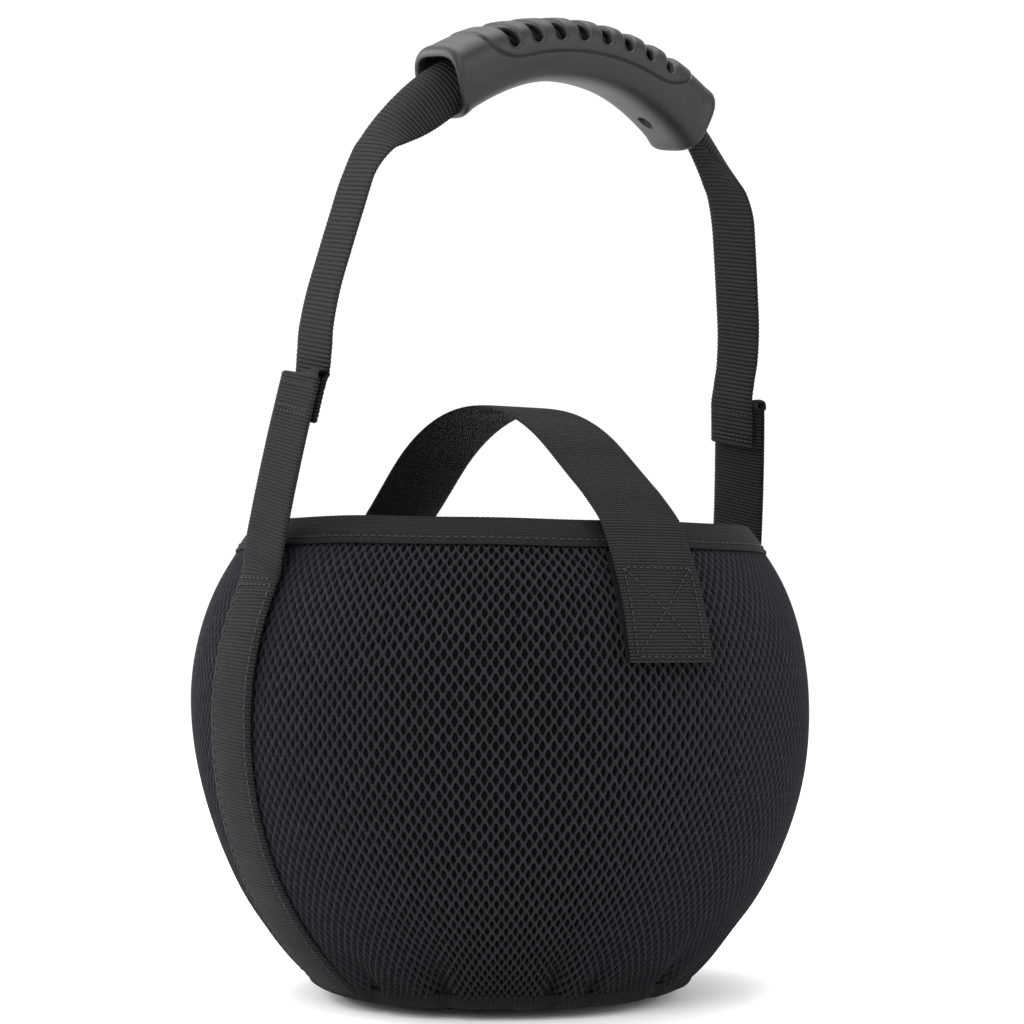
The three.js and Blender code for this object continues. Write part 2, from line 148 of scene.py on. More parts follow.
def profile(height, offset=0.0):
    """(radius, height) of the point that lies offset outside the pouch's outer surface."""
    height = np.asarray(height, float)
    reach = np.where(height < WIDEST_HEIGHT, LOWER_REACH, UPPER_REACH)
    rise = (height - WIDEST_HEIGHT) / reach
    spread = np.sqrt(1 - rise * rise)
    normal = unit(np.stack([spread / WIDEST_RADIUS, rise / reach], axis=-1))
    return (
        WIDEST_RADIUS * spread + offset * normal[..., 0],
        height + offset * normal[..., 1],
    )


HEIGHT_TABLE = np.linspace(SEAM_HEIGHT - 1.0, RIM_HEIGHT, 800)
RADIUS_TABLE = profile(HEIGHT_TABLE)[0]
ARC_TABLE = np.concatenate([
    [0.0],
    np.cumsum(np.hypot(np.diff(HEIGHT_TABLE), np.diff(RADIUS_TABLE))),
])
ARC_LENGTH = ARC_TABLE[-1]


def height_at_arc(arc):
    return np.interp(arc, ARC_TABLE, HEIGHT_TABLE)


# ---- the pouch's soft shape ----

# Gathers where the panel is eased into the base seam: (angle in degrees, depth, half width).
GATHERS = [
    (221, 3.4, 4.2), (251, 3.0, 3.2), (262, 1.8, 2.6), (288, 2.6, 3.6), (318, 3.0, 4.0),
    (341, 2.2, 3.0), (199, 2.4, 3.4), (24, 2.6, 3.6), (58, 3.0, 4.0), (87, 2.4, 3.2),
    (121, 3.0, 3.8), (152, 2.6, 3.6),
]
GATHER_TOP = 40.0


def softness(theta, height):
    """How far the soft wall stands out of its even round shape, in millimetres."""
    degrees = np.degrees(theta) % 360
    low = 1 - smoothstep(SEAM_HEIGHT, GATHER_TOP, height)
    offset = np.zeros(np.broadcast(theta, height).shape)
    for angle, depth, half_width in GATHERS:
        away = (degrees - angle + 180) % 360 - 180
        width = half_width * (0.7 + 1.2 * (1 - low))
        pinch = np.exp(-(away / width) ** 2)
        puff = np.exp(-((np.abs(away) - 2.3 * width) / (1.3 * width)) ** 2)
        offset = offset + low ** 1.5 * depth * (0.3 * puff - pinch)
    slow = (
        0.35 * np.sin(3 * theta + 0.04 * height + 1.0)
        + 0.25 * np.sin(5 * theta - 0.06 * height + 2.2)
        + 0.18 * np.sin(9 * theta + 0.09 * height)
    )
    middle = smoothstep(SEAM_HEIGHT, 50, height) * (1 - smoothstep(150, 166, height))
    return offset + slow * middle


FRONT_DIP = 2.2          # how much lower the rim hangs at the front than at the side straps
BACK_DIP = 1.0


def rim_dip(theta, height):
    """How far the rim hangs between the side straps."""
    depth = np.where(np.sin(theta) < 0, FRONT_DIP, BACK_DIP)
    return depth * np.sin(theta) ** 2 * smoothstep(140, RIM_HEIGHT, height)


def wall_point(theta, height, depth=0.0):
    """A point on the soft wall, depth inside its outer surface."""
    radius, level = profile(height, softness(theta, height) - depth)
    level = level - rim_dip(theta, height)
    return np.stack([radius * np.cos(theta), radius * np.sin(theta), level], axis=-1)


# ---- meshes ----

def link(name, mesh):
    piece = bpy.data.objects.new(name, mesh)
    bpy.context.scene.collection.objects.link(piece)
    return piece


def make_piece(name, points, faces, material, smooth=True):
    """A mesh piece from points in millimetres."""
    mesh = bpy.data.meshes.new(name)
    mesh.from_pydata((np.asarray(points) * MM).tolist(), [], faces)
    mesh.validate()
    mesh.materials.append(material)
    if smooth:
        mesh.shade_smooth()
    return link(name, mesh)


def attach(piece, body, slot, *nodes):
    """Ties a piece to its body and hides the CAD nodes that it stands for. The slot is not used."""
    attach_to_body(piece, body)
    if nodes:
        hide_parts(*nodes)


def set_uv(piece, coordinates):
    """Stores a (across, along) coordinate in millimetres for each point as the piece's UV map."""
    mesh = piece.data
    layer = mesh.uv_layers.new(name="weave")
    corner = np.empty(len(mesh.loops), dtype=np.int64)
    mesh.loops.foreach_get("vertex_index", corner)
    values = (np.asarray(coordinates, float) / 100.0)[corner]
    layer.data.foreach_set("uv", values.astype(np.float32).ravel())


def set_value(piece, name, values):
    """Stores one number for each point, which the piece's material reads by name."""
    attribute = piece.data.attributes.new(name, "FLOAT", "POINT")
    attribute.data.foreach_set("value", np.asarray(values, np.float32))


def grid_faces(rows, columns, first=0, close_columns=False, flip=False):
    """Quads over a rows by columns grid of points, numbered row by row from first."""
    faces = []
    span = columns if close_columns else columns - 1
    for row in range(rows - 1):
        for column in range(span):
            after = (column + 1) % columns
            a = first + row * columns + column
            b = first + row * columns + after
            c = first + (row + 1) * columns + after
            d = first + (row + 1) * columns + column
            faces.append((a, d, c, b) if flip else (a, b, c, d))
    return faces


def sweep(name, sections, material, closed_path=False, caps=True):
    """A closed skin through sections, an array of (stations, points round the section, 3)."""
    stations, around, _ = sections.shape
    points = sections.reshape(-1, 3)
    faces = grid_faces(stations, around, close_columns=True)
    if closed_path:
        last = (stations - 1) * around
        for column in range(around):
            after = (column + 1) % around
            faces.append((last + column, last + after, after, column))
    elif caps:
        faces.append(tuple(range(around))[::-1])
        faces.append(tuple(range((stations - 1) * around, stations * around)))
    return make_piece(name, points, faces, material)


# ---- materials ----

class Nodes:
    """A short way to write a material's node tree."""

    def __init__(self, name):
        self.material = bpy.data.materials.new(name)
        self.material.use_nodes = True
        self.tree = self.material.node_tree
        self.shader = self.tree.nodes["Principled BSDF"]

    def add(self, kind, inputs=None, **settings):
        node = self.tree.nodes.new(kind)
        for key, value in settings.items():
            setattr(node, key, value)
        for key, value in (inputs or {}).items():
            self.put(node.inputs[key], value)
        return node

    def put(self, socket, value):
        if isinstance(value, bpy.types.NodeSocket):
            self.tree.links.new(value, socket)
        else:
            socket.default_value = value

    def math(self, operation, first, second=0.0, third=0.0):
        node = self.add("ShaderNodeMath", operation=operation)
        for socket, value in zip(node.inputs, (first, second, third)):
            self.put(socket, value)
        return node.outputs[0]

    def blend(self, factor, first, second):
        node = self.add("ShaderNodeMix", data_type="RGBA")
        self.put(node.inputs["Factor"], factor)
        self.put(node.inputs["A"], first)
        self.put(node.inputs["B"], second)
        return node.outputs["Result"]

    def noise(self, scale, detail=2.0):
        place = self.add("ShaderNodeTexCoord").outputs["Object"]
        settings = {"Vector": place, "Scale": scale, "Detail": detail}
        return self.add("ShaderNodeTexNoise", settings).outputs[0]

    def bump(self, height, distance, strength=1.0, under=None):
        settings = {"Height": height, "Distance": distance, "Strength": strength}
        node = self.add("ShaderNodeBump", settings)
        if under is not None:
            self.put(node.inputs["Normal"], under)
        return node.outputs[0]

    def finish(self, colour, roughness, normal=None, sheen=0.0, specular=0.4):
        self.put(self.shader.inputs["Base Color"], colour)
        self.put(self.shader.inputs["Roughness"], roughness)
        if normal is not None:
            self.put(self.shader.inputs["Normal"], normal)
        self.shader.inputs["Specular IOR Level"].default_value = specular
        self.shader.inputs["Sheen Weight"].default_value = sheen
        self.shader.inputs["Sheen Roughness"].default_value = 0.45
        return self.material


def shade(value, tint=(1.0, 0.96, 1.06)):
    """A dark, slightly cool colour of the given brightness."""
    return tuple(value * channel for channel in tint) + (1.0,)


MESH_TINT = (1.0, 0.94, 1.18)


def mesh_fabric():
    """Knitted spacer mesh: pale-edged ridges, with painted shade that darkens each cell to near black
    towards its bottom.
    """
    nodes = Nodes("mesh_fabric")
    pit_shade = nodes.add("ShaderNodeAttribute", attribute_name="pit_shade").outputs["Fac"]
    wide = nodes.noise(18.0)
    yarn = nodes.noise(2600.0, 3.0)
    ridge = nodes.blend(wide, shade(0.0065, MESH_TINT), shade(0.009, MESH_TINT))
    ridge = nodes.blend(nodes.math("MULTIPLY", yarn, 0.5), ridge, shade(0.018, MESH_TINT))
    # Painted shade: the deeper a point lies in its cell, the nearer its colour comes to near black.
    colour = nodes.blend(pit_shade, ridge, shade(0.0008, MESH_TINT))
    rough = nodes.math("MULTIPLY_ADD", yarn, 0.25, 0.6)
    normal = nodes.bump(yarn, 0.0003, 0.8)
    return nodes.finish(colour, rough, normal, sheen=0.02, specular=0.07)


def webbing(name, rib, yarn, dark, light, relief=0.0009):
    """Ribbed webbing: rows across the strap, each a line of rounded yarns, with painted shade darkening
    the grooves between them.
    """
    nodes = Nodes(name)
    uv = nodes.add("ShaderNodeUVMap", uv_map="weave").outputs[0]
    split = nodes.add("ShaderNodeSeparateXYZ", {"Vector": uv})
    across = nodes.math("MULTIPLY", split.outputs["X"], 100.0 / yarn)
    along = nodes.math("MULTIPLY", split.outputs["Y"], 100.0 / rib)
    row = nodes.math("FLOOR", along)
    stagger = nodes.math("MULTIPLY", row, 0.5)
    yarn_wave = nodes.math("SINE", nodes.math("MULTIPLY", nodes.math("ADD", across, stagger), math.pi))
    row_wave = nodes.math("SINE", nodes.math("MULTIPLY", along, math.pi))
    yarn_top = nodes.math("POWER", nodes.math("ABSOLUTE", yarn_wave), 0.6)
    row_top = nodes.math("POWER", nodes.math("ABSOLUTE", row_wave), 0.6)
    height = nodes.math("MULTIPLY", row_top, nodes.math("MULTIPLY_ADD", yarn_top, 0.65, 0.35))
    fuzz = nodes.noise(3000.0, 3.0)
    wear = nodes.noise(60.0)
    # Painted shade: the colour goes from dark in the grooves of the relief to the light colour on its
    # crests.
    colour = nodes.blend(nodes.math("POWER", height, 1.8), shade(dark), shade(light))
    colour = nodes.blend(nodes.math("MULTIPLY", wear, 0.35), colour, shade(light * 1.5))
    total = nodes.math("MULTIPLY_ADD", fuzz, 0.25, height)
    normal = nodes.bump(total, relief, 1.0)
    rough = nodes.math("MULTIPLY_ADD", wear, 0.25, 0.5)
    return nodes.finish(colour, rough, normal, sheen=0.0, specular=0.07)


def plain_fabric(name, brightness, scale=1500.0, roughness=0.8):
    """Matt cloth with a fine uneven surface and no clear weave."""
    nodes = Nodes(name)
    fine = nodes.noise(scale, 3.0)
    wide = nodes.noise(30.0)
    patchy = nodes.math("MULTIPLY", fine, wide)
    colour = nodes.blend(patchy, shade(brightness * 0.6), shade(brightness * 1.7))
    normal = nodes.bump(fine, 0.0003, 0.8)
    rough = nodes.math("MULTIPLY_ADD", wide, 0.2, roughness - 0.1)
    return nodes.finish(colour, rough, normal, sheen=0.0, specular=0.06)


def woven_fabric(name, brightness, thread):
    """A plain weave of fine threads that follows the piece's own coordinates, its colour partly random
    tone and partly painted shade on the lower threads.
    """
    nodes = Nodes(name)
    place = nodes.add("ShaderNodeTexCoord").outputs["Object"]
    settings = {"Vector": place, "Scale": 1.0 / (thread * MM * 2)}
    checks = nodes.add("ShaderNodeTexChecker", settings).outputs["Fac"]
    fine = nodes.noise(1800.0, 3.0)
    height = nodes.math("MULTIPLY_ADD", fine, 0.6, nodes.math("MULTIPLY", checks, 0.4))
    # Colour follows the relief: the noise gives random tone, and the checks paint the lower threads
    # darker as shade.
    colour = nodes.blend(height, shade(brightness * 0.6), shade(brightness * 1.5))
    normal = nodes.bump(height, 0.0002, 0.7)
    rough = nodes.math("MULTIPLY_ADD", fine, 0.2, 0.6)
    return nodes.finish(colour, rough, normal, sheen=0.0, specular=0.06)


PLASTIC_TINT = (1.0, 0.98, 1.12)


def moulded_plastic():
    """Satin black plastic with a fine moulded grain and a random haze in its colour and roughness."""
    nodes = Nodes("moulded_plastic")
    grain = nodes.add(
        "ShaderNodeTexVoronoi",
        {"Vector": nodes.add("ShaderNodeTexCoord").outputs["Object"], "Scale": 1900.0},
    ).outputs["Distance"]
    haze = nodes.noise(45.0, 4.0)
    colour = nodes.blend(haze, shade(0.0045, PLASTIC_TINT), shade(0.008, PLASTIC_TINT))
    rough = nodes.math("MULTIPLY_ADD", haze, 0.16, 0.31)
    rough = nodes.math("MULTIPLY_ADD", grain, 0.10, rough)
    normal = nodes.bump(grain, 0.00012, 0.45)
    return nodes.finish(colour, rough, normal, specular=0.24)


def screw_metal():
    """Black-coated steel, scratched through here and there."""
    nodes = Nodes("screw_metal")
    scratch = nodes.noise(700.0, 3.0)
    colour = nodes.blend(scratch, (0.012, 0.012, 0.013, 1), (0.05, 0.05, 0.053, 1))
    nodes.shader.inputs["Metallic"].default_value = 0.8
    rough = nodes.math("MULTIPLY_ADD", scratch, 0.2, 0.3)
    return nodes.finish(colour, rough, nodes.bump(scratch, 0.0001, 0.4))


def thread_material():
    """Twisted thread, a little lighter than the webbing."""
    nodes = Nodes("thread")
    twist = nodes.noise(4200.0, 2.0)
    colour = nodes.blend(twist, shade(0.009), shade(0.026))
    return nodes.finish(colour, 0.5, nodes.bump(twist, 0.0001, 0.8), specular=0.15)


SIDE_RIB = 1.25          # millimetres from one rib of the webbing to the next
UPPER_RIB = 1.6
CLOSING_RIB = 1.15

MESH_FABRIC = mesh_fabric()
# Each webbing's dark value is the painted shade in its grooves.
SIDE_WEBBING = webbing("webbing_side", rib=SIDE_RIB, yarn=0.95, dark=0.0003, light=0.015)
UPPER_WEBBING = webbing("webbing_upper", rib=UPPER_RIB, yarn=1.0, dark=0.0003, light=0.018)
CLOSING_WEBBING = webbing("webbing_closing", rib=CLOSING_RIB, yarn=0.9, dark=0.0003, light=0.020)
BINDING_TAPE = webbing("binding_tape", rib=0.9, yarn=0.7, dark=0.002, light=0.009, relief=0.0003)
LINING = plain_fabric("lining_fabric", 0.006)
BASE_FABRIC = woven_fabric("base_fabric", 0.009, 0.6)
FOAM = plain_fabric("foam", 0.012, 900.0, 0.9)
PATCH = plain_fabric("hook_and_loop", 0.005, 2400.0, 0.9)
PLASTIC = moulded_plastic()
SCREW = screw_metal()
THREAD = thread_material()


# ---- spacer mesh panels ----

COLUMNS = 186            # columns of cells round half the pouch
CELL_ROWS = 32           # cells up one column
CORNER_SHARE = 0.16      # how blunt the cells' pointed ends are, as a share of a column
HOLE_ACROSS = 0.63       # the hole's half width, as a share of a column
HOLE_SHOULDER = 0.24     # the half length of its flat top and bottom
HOLE_UP = 0.345          # the hole's half height, as a share of a cell
HOLE_JITTER = 0.022      # how unevenly the holes are placed, in columns and cells
PIT_SHARE = 0.82         # the size of a hole's bottom against its top
PIT_DEPTH = 1.7          # how deep a hole is
LIP_DEPTH = 0.22         # how far its edge is rounded down


def cell_outline():
    """A cell's six corners and its hole's, as (columns, cells) from the cell's middle."""
    outer = np.array([
        (1 - CORNER_SHARE, 0), (CORNER_SHARE, 0.5), (-CORNER_SHARE, 0.5),
        (CORNER_SHARE - 1, 0), (-CORNER_SHARE, -0.5), (CORNER_SHARE, -0.5),
    ])
    inner = np.array([
        (HOLE_ACROSS, 0), (HOLE_SHOULDER, HOLE_UP), (-HOLE_SHOULDER, HOLE_UP),
        (-HOLE_ACROSS, 0), (-HOLE_SHOULDER, -HOLE_UP), (HOLE_SHOULDER, -HOLE_UP),
    ])
    return outer, inner


def cell_points():
    """Points and depths of all cells, in columns and cells, and each ring's point numbers."""
    outer, inner = cell_outline()
    column = np.arange(1, COLUMNS)
    row = np.arange(CELL_ROWS)
    grid_column, grid_row = (part.ravel() for part in np.meshgrid(column, row, indexing="ij"))
    middle = np.stack([grid_column, grid_row + 0.5 * (grid_column % 2) + 0.25], axis=-1)
    cells = len(middle)
    jitter = RNG.normal(0.0, HOLE_JITTER, (cells, 1, 2))
    rings = [
        (middle[:, None] + outer[None], 0.0),
        (middle[:, None] + inner[None] + jitter, LIP_DEPTH),
        (middle[:, None] + PIT_SHARE * inner[None] + jitter, PIT_DEPTH),
    ]
    spots = np.concatenate([ring.reshape(-1, 2) for ring, _ in rings])
    depths = np.concatenate([np.full(cells * 6, depth) for _, depth in rings])
    keys = np.round(spots[: cells * 6] * 1000).astype(np.int64)
    _, kept, merged = np.unique(keys, axis=0, return_index=True, return_inverse=True)
    spots = np.concatenate([spots[kept], spots[cells * 6:]])
    depths = np.concatenate([depths[kept], depths[cells * 6:]])
    index = [merged.ravel().reshape(cells, 6)]
    for ring in (0, 1):
        first = len(kept) + ring * cells * 6
        index.append(first + np.arange(cells * 6).reshape(cells, 6))
    return spots, depths, index


def lattice(start, turn):
    """Angles, heights, depths and faces of the cells of half a pouch, from start through turn."""
    spots, depths, index = cell_points()
    faces = []
    for low, high in ((0, 1), (1, 2)):
        for corner in range(6):
            after = (corner + 1) % 6
            quad = np.stack([
                index[low][:, corner], index[low][:, after],
                index[high][:, after], index[high][:, corner],
            ], axis=-1)
            faces += quad.tolist()
    faces += index[2].tolist()
    theta = start + turn * np.clip(spots[:, 0], 0, COLUMNS) / COLUMNS
    arc = np.clip(spots[:, 1] / (CELL_ROWS + 1), 0, 1) * ARC_LENGTH
    return theta, height_at_arc(arc), depths, faces


def backing(start, turn, outer, inner, steps_round=96, steps_up=36):
    """A closed shell under the cells, between two depths."""
    theta = start + turn * np.linspace(0.004, 0.996, steps_round)
    height = np.linspace(SEAM_HEIGHT, RIM_HEIGHT - 0.4, steps_up)
    up = np.concatenate([height, height[::-1]])
    depth = np.concatenate([np.full(steps_up, outer), np.full(steps_up, inner)])
    grid_theta, grid_up = np.meshgrid(theta, up, indexing="ij")
    grid_depth = np.broadcast_to(depth, grid_up.shape)
    return wall_point(grid_theta, grid_up, grid_depth)


def mesh_panel(name, node, start):
    """Half of the pouch: a lattice of open cells over a closed backing."""
    theta, height, depth, faces = lattice(start, math.pi)
    points = wall_point(theta, height, depth)
    shell = backing(start, math.pi, PIT_DEPTH + 0.15, PANEL_THICKNESS)
    stations, around, _ = shell.shape
    first = len(points)
    faces += grid_faces(stations, around, first, close_columns=True)
    faces.append([first + index for index in range(around)][::-1])
    faces.append([first + (stations - 1) * around + index for index in range(around)])
    points = np.concatenate([points, shell.reshape(-1, 3)])
    piece = make_piece(name, points, faces, MESH_FABRIC)
    # Painted shade follows the cells' depth; the backing under the holes is painted near black all over,
    # as shade.
    pit_shade = np.concatenate([smoothstep(LIP_DEPTH * 0.6, PIT_DEPTH, depth), np.ones(stations * around)])
    set_value(piece, "pit_shade", pit_shade)
    attach(piece, "pouch", "mesh_fabric", node)


def lining(name, node, start):
    """A thin cloth shell with small puckers, inside the mesh."""
    outer = PANEL_THICKNESS + 0.3
    theta = start + math.pi * np.linspace(0.003, 0.997, 160)
    height = np.linspace(SEAM_HEIGHT + 0.3, RIM_HEIGHT - 0.4, 70)
    up = np.concatenate([height, height[::-1]])
    inside = np.concatenate([np.zeros(len(height)), np.ones(len(height))])
    grid_theta, grid_up = np.meshgrid(theta, up, indexing="ij")
    pucker = 0.22 * np.sin(grid_theta * 41 + 0.11 * grid_up) * np.sin(0.16 * grid_up + grid_theta * 7)
    depth = outer + inside * (WALL_THICKNESS - outer + np.abs(pucker))
    piece = sweep(name, wall_point(grid_theta, grid_up, depth), LINING)
    attach(piece, "pouch", "lining_fabric", node)


mesh_panel("front_mesh_panel_knit", "front_mesh_panel", math.pi)
mesh_panel("back_mesh_panel_knit", "back_mesh_panel", 0.0)
lining("front_lining_cloth", "front_lining", math.pi)
lining("back_lining_cloth", "back_lining", 0.0)


# ---- base ----

BASE_FLAT_RADIUS = 30.0
BASE_RISE = 4.6
BASE_RADIUS = 60.0
PAD_RADIUS = 57.5
QUILT_PITCH = 20.0


def base_level(distance):
    """The height of the base cloth's underside, which bellies down under the ball."""
    share = (distance - BASE_FLAT_RADIUS) / (BASE_RADIUS - BASE_FLAT_RADIUS)
    return BASE_RISE * np.clip(share, 0, 1) ** 1.6


def base_disc(name, node, bottom, thickness, radius, material, slot, quilted):
    """A round sheet that follows the belly of the base."""
    rings, spokes = 60, 150
    distance = np.linspace(0.3, radius, rings)
    angle = np.linspace(0, TAU, spokes, endpoint=False)
    grid_angle, grid_distance = np.meshgrid(angle, distance, indexing="ij")
    soften = np.ones_like(grid_distance)
    if quilted:
        x, y = grid_distance * np.cos(grid_angle), grid_distance * np.sin(grid_angle)
        for line in (x + y, x - y):
            off_seam = (line / math.sqrt(2) + QUILT_PITCH / 2) % QUILT_PITCH - QUILT_PITCH / 2
            soften = soften - 0.45 * np.exp(-(off_seam / 1.6) ** 2)
        soften = soften - 0.4 * np.exp(-((grid_distance - radius + 4.0) / 1.2) ** 2)
    ripple = 0.12 * np.sin(3 * grid_angle + grid_distance * 0.15) * smoothstep(8, 50, grid_distance)
    under = bottom + base_level(grid_distance) + np.abs(ripple)
    over = under + thickness * np.clip(soften, 0.25, 1)
    sheets = []
    for level, order in ((under, 1), (over, -1)):
        sheet = np.stack([
            grid_distance * np.cos(grid_angle), grid_distance * np.sin(grid_angle), level,
        ], axis=-1)
        sheets.append(sheet[:, ::order])
    piece = sweep(name, np.concatenate(sheets, axis=1), material, closed_path=True)
    attach(piece, "pouch", slot, node)
    return piece


base_disc("base_panel_cloth", "base_panel", 0.0, 1.2, BASE_RADIUS, BASE_FABRIC, "base_fabric",
          False)
pad = base_disc("base_pad_quilted", "base_pad", 1.5, 1.6, PAD_RADIUS, FOAM, "foam", True)


# The base tape's section, as (radius, height): from the wall round and under to the base cloth.
BASE_TAPE = [
    (71.6, 9.6), (71.7, 8.0), (70.9, 6.4), (69.2, 5.0), (66.8, 4.1), (64.0, 3.7), (61.2, 3.8),
    (60.4, 4.6), (61.0, 5.8), (63.5, 6.2), (66.5, 6.8), (68.6, 8.0), (69.6, 9.4), (70.6, 10.0),
]
BASE_RIB_COUNT = 260


def resample_closed(outline, count):
    """Points at even steps round a closed outline."""
    closed = np.concatenate([outline, outline[:1]])
    steps = np.hypot(*np.diff(closed, axis=0).T)
    distance = np.concatenate([[0.0], np.cumsum(steps)])
    even = np.linspace(0, distance[-1], count, endpoint=False)
    return np.stack([np.interp(even, distance, closed[:, axis]) for axis in range(2)], axis=-1)


def base_ring():
    """The tape round the base seam, with its slanting ribs."""
    stations = 1560
    outline = resample_closed(np.array(BASE_TAPE), 30)
    around = len(outline)
    out = unit(np.stack([
        np.roll(outline, -1, axis=0)[:, 1] - np.roll(outline, 1, axis=0)[:, 1],
        np.roll(outline, 1, axis=0)[:, 0] - np.roll(outline, -1, axis=0)[:, 0],
    ], axis=-1))
    if (out * (outline - outline.mean(axis=0))).sum() < 0:
        out = -out
    theta = np.linspace(0, TAU, stations, endpoint=False)[:, None]
    along_outline = np.arange(around)[None, :] / around
    ribs = 0.13 * np.sin(theta * BASE_RIB_COUNT + TAU * 2 * along_outline)
    gathers = softness(theta, np.array([[SEAM_HEIGHT + 2.0]])) * 0.5
    radius = outline[None, :, 0] + ribs * out[None, :, 0] + gathers * (outline[None, :, 0] > 65)
    level = outline[None, :, 1] + ribs * out[None, :, 1] + 0.15 * np.sin(theta * 5)
    sections = np.stack([
        radius * np.cos(theta), radius * np.sin(theta), np.broadcast_to(level, radius.shape),
    ], axis=-1)
    piece = sweep("base_binding_tape", sections, BINDING_TAPE, closed_path=True)
    across = np.broadcast_to(along_outline * 26.0, radius.shape)
    along = np.broadcast_to(theta * 70.0, radius.shape)
    set_uv(piece, np.stack([across.ravel(), along.ravel()], axis=-1))
    attach(piece, "pouch", "binding_tape", "base_binding")


base_ring()


# ---- rim binding ----

RIM_TAPE_STAND = 0.95    # how far the rim tape stands off the mesh and the lining
RIM_TAPE_DEPTH = 9.0     # how far it reaches down
RIM_STITCH_DROP = 6.6    # from the rim down to its row of stitches


def rim_wave(theta):
    """The rim's small waviness, up and down."""
    return 0.6 * (0.35 * np.sin(4 * theta + 0.6) + 0.2 * np.sin(11 * theta))


def rim_section():
    """(offset, height) points round the folded tape, outside first, over the top, then inside."""
    depth = RIM_TAPE_DEPTH
    outer, inner = RIM_TAPE_STAND, -(WALL_THICKNESS + RIM_TAPE_STAND)
    outside = [(outer - 0.5, -depth), (outer, -depth + 0.6)]
    outside += [(outer, -depth + step) for step in (1.8, 3.0, 4.2, 5.4, 6.6, 7.8)]
    top = [(outer - 0.1, 0.2), (outer - 0.6, 1.0), (-2.0, 1.35), (inner + 0.6, 1.0), (inner + 0.1, 0.2)]
    inside = [(inner, -2.5), (inner, -5.0), (inner, -depth + 0.6), (inner + 0.5, -depth)]
    back = [(inner + 0.9, -depth + 0.5), (inner + 0.95, -1.0), (-0.6, -0.2), (outer - 0.95, -1.0),
            (outer - 0.9, -depth + 0.5)]
    return np.array(outside + top + inside + back)


def rim_binding(name, node, start):
    """Half of the tape folded over the rim, pulled in along its stitches."""
    stations = 700
    theta = start + math.pi * np.linspace(0.002, 0.998, stations)
    outline = rim_section()
    ribs = 0.05 * np.sin(theta * 93 / 0.9 * TAU * 0.5)[:, None]
    height = RIM_HEIGHT + np.minimum(outline[None, :, 1], 0)
    lift = np.maximum(outline[None, :, 1], 0)
    from_row = outline[None, :, 1] + RIM_STITCH_DROP
    stitched = np.exp(-(from_row / 0.8) ** 2) * (outline[None, :, 0] > 0)
    offset = outline[None, :, 0] + ribs * np.sign(outline[None, :, 0] + 2) - 0.3 * stitched
    offset = offset + softness(theta[:, None], height)
    radius, level = profile(height, offset)
    level = level + lift + rim_wave(theta[:, None]) - rim_dip(theta[:, None], height)
    sections = np.stack([
        radius * np.cos(theta[:, None]), radius * np.sin(theta[:, None]), level,
    ], axis=-1)
    piece = sweep(name, sections[:, ::-1], BINDING_TAPE)
    across = np.cumsum(np.concatenate([[0], np.hypot(*np.diff(outline, axis=0).T)]))
    grid_across = np.broadcast_to(across[None, ::-1], radius.shape)
    along = np.broadcast_to(theta[:, None] * 93.0, radius.shape)
    set_uv(piece, np.stack([along.ravel(), grid_across.ravel()], axis=-1))
    attach(piece, "pouch", "binding_tape", node)


rim_binding("rim_binding_front_tape", "rim_binding_front", math.pi)
rim_binding("rim_binding_back_tape", "rim_binding_back", 0.0)


# ---- straps ----

class Line:
    """A strap's middle line with its direction, outward normal and sideways direction."""

    def __init__(self, points, outward, step):
        dense = resample(np.asarray(points, float), step)
        along = unit(np.gradient(dense, axis=0))
        side = unit(np.cross(along, outward_at(dense, outward)))
        self.points = dense
        self.along = along
        self.side = side
        self.normal = unit(np.cross(side, along))
        steps = np.linalg.norm(np.diff(dense, axis=0), axis=1)
        self.distance = np.concatenate([[0.0], np.cumsum(steps)])
        self.curl = np.full(len(dense), 1e-6)

    def face_front(self, turn):
        """Twists the strap about its own length, its face turning towards the front."""
        front = np.array([0.0, -math.cos(HANDLE_LEAN), -math.sin(HANDLE_LEAN)])
        amount = np.broadcast_to(turn, self.distance.shape)[:, None]
        self.normal = unit(np.cos(amount) * self.normal + np.sin(amount) * front)
        self.side = unit(np.cross(self.along, self.normal))

    def at(self, distance):
        """Point, direction, normal and side at distances along the line."""
        parts = []
        for values in (self.points, self.along, self.normal, self.side):
            parts.append(np.stack([np.interp(distance, self.distance, values[:, axis])
                                   for axis in range(3)], axis=-1))
        return parts

    def surface(self, distance, across, lift):
        """Points and normals across the strap, bent round its length by the curl there."""
        point, _, normal, side = self.at(distance)
        bend = np.interp(distance, self.distance, self.curl)
        across, bend = np.broadcast_arrays(across, bend[:, None] if np.ndim(across) == 2 else bend)
        spread = (slice(None),) + (None,) * (across.ndim - 1)
        point, normal, side = point[spread], normal[spread], side[spread]
        lean = (across * bend)[..., None]
        face = np.cos(lean) * normal + np.sin(lean) * side
        sideways = (np.sin(across * bend) / bend)[..., None]
        inward = ((1 - np.cos(across * bend)) / bend)[..., None]
        middle = point + sideways * side - inward * normal
        return middle + np.asarray(lift)[..., None] * face, face


def outward_at(points, outward):
    return outward(points) if callable(outward) else np.broadcast_to(outward, points.shape)


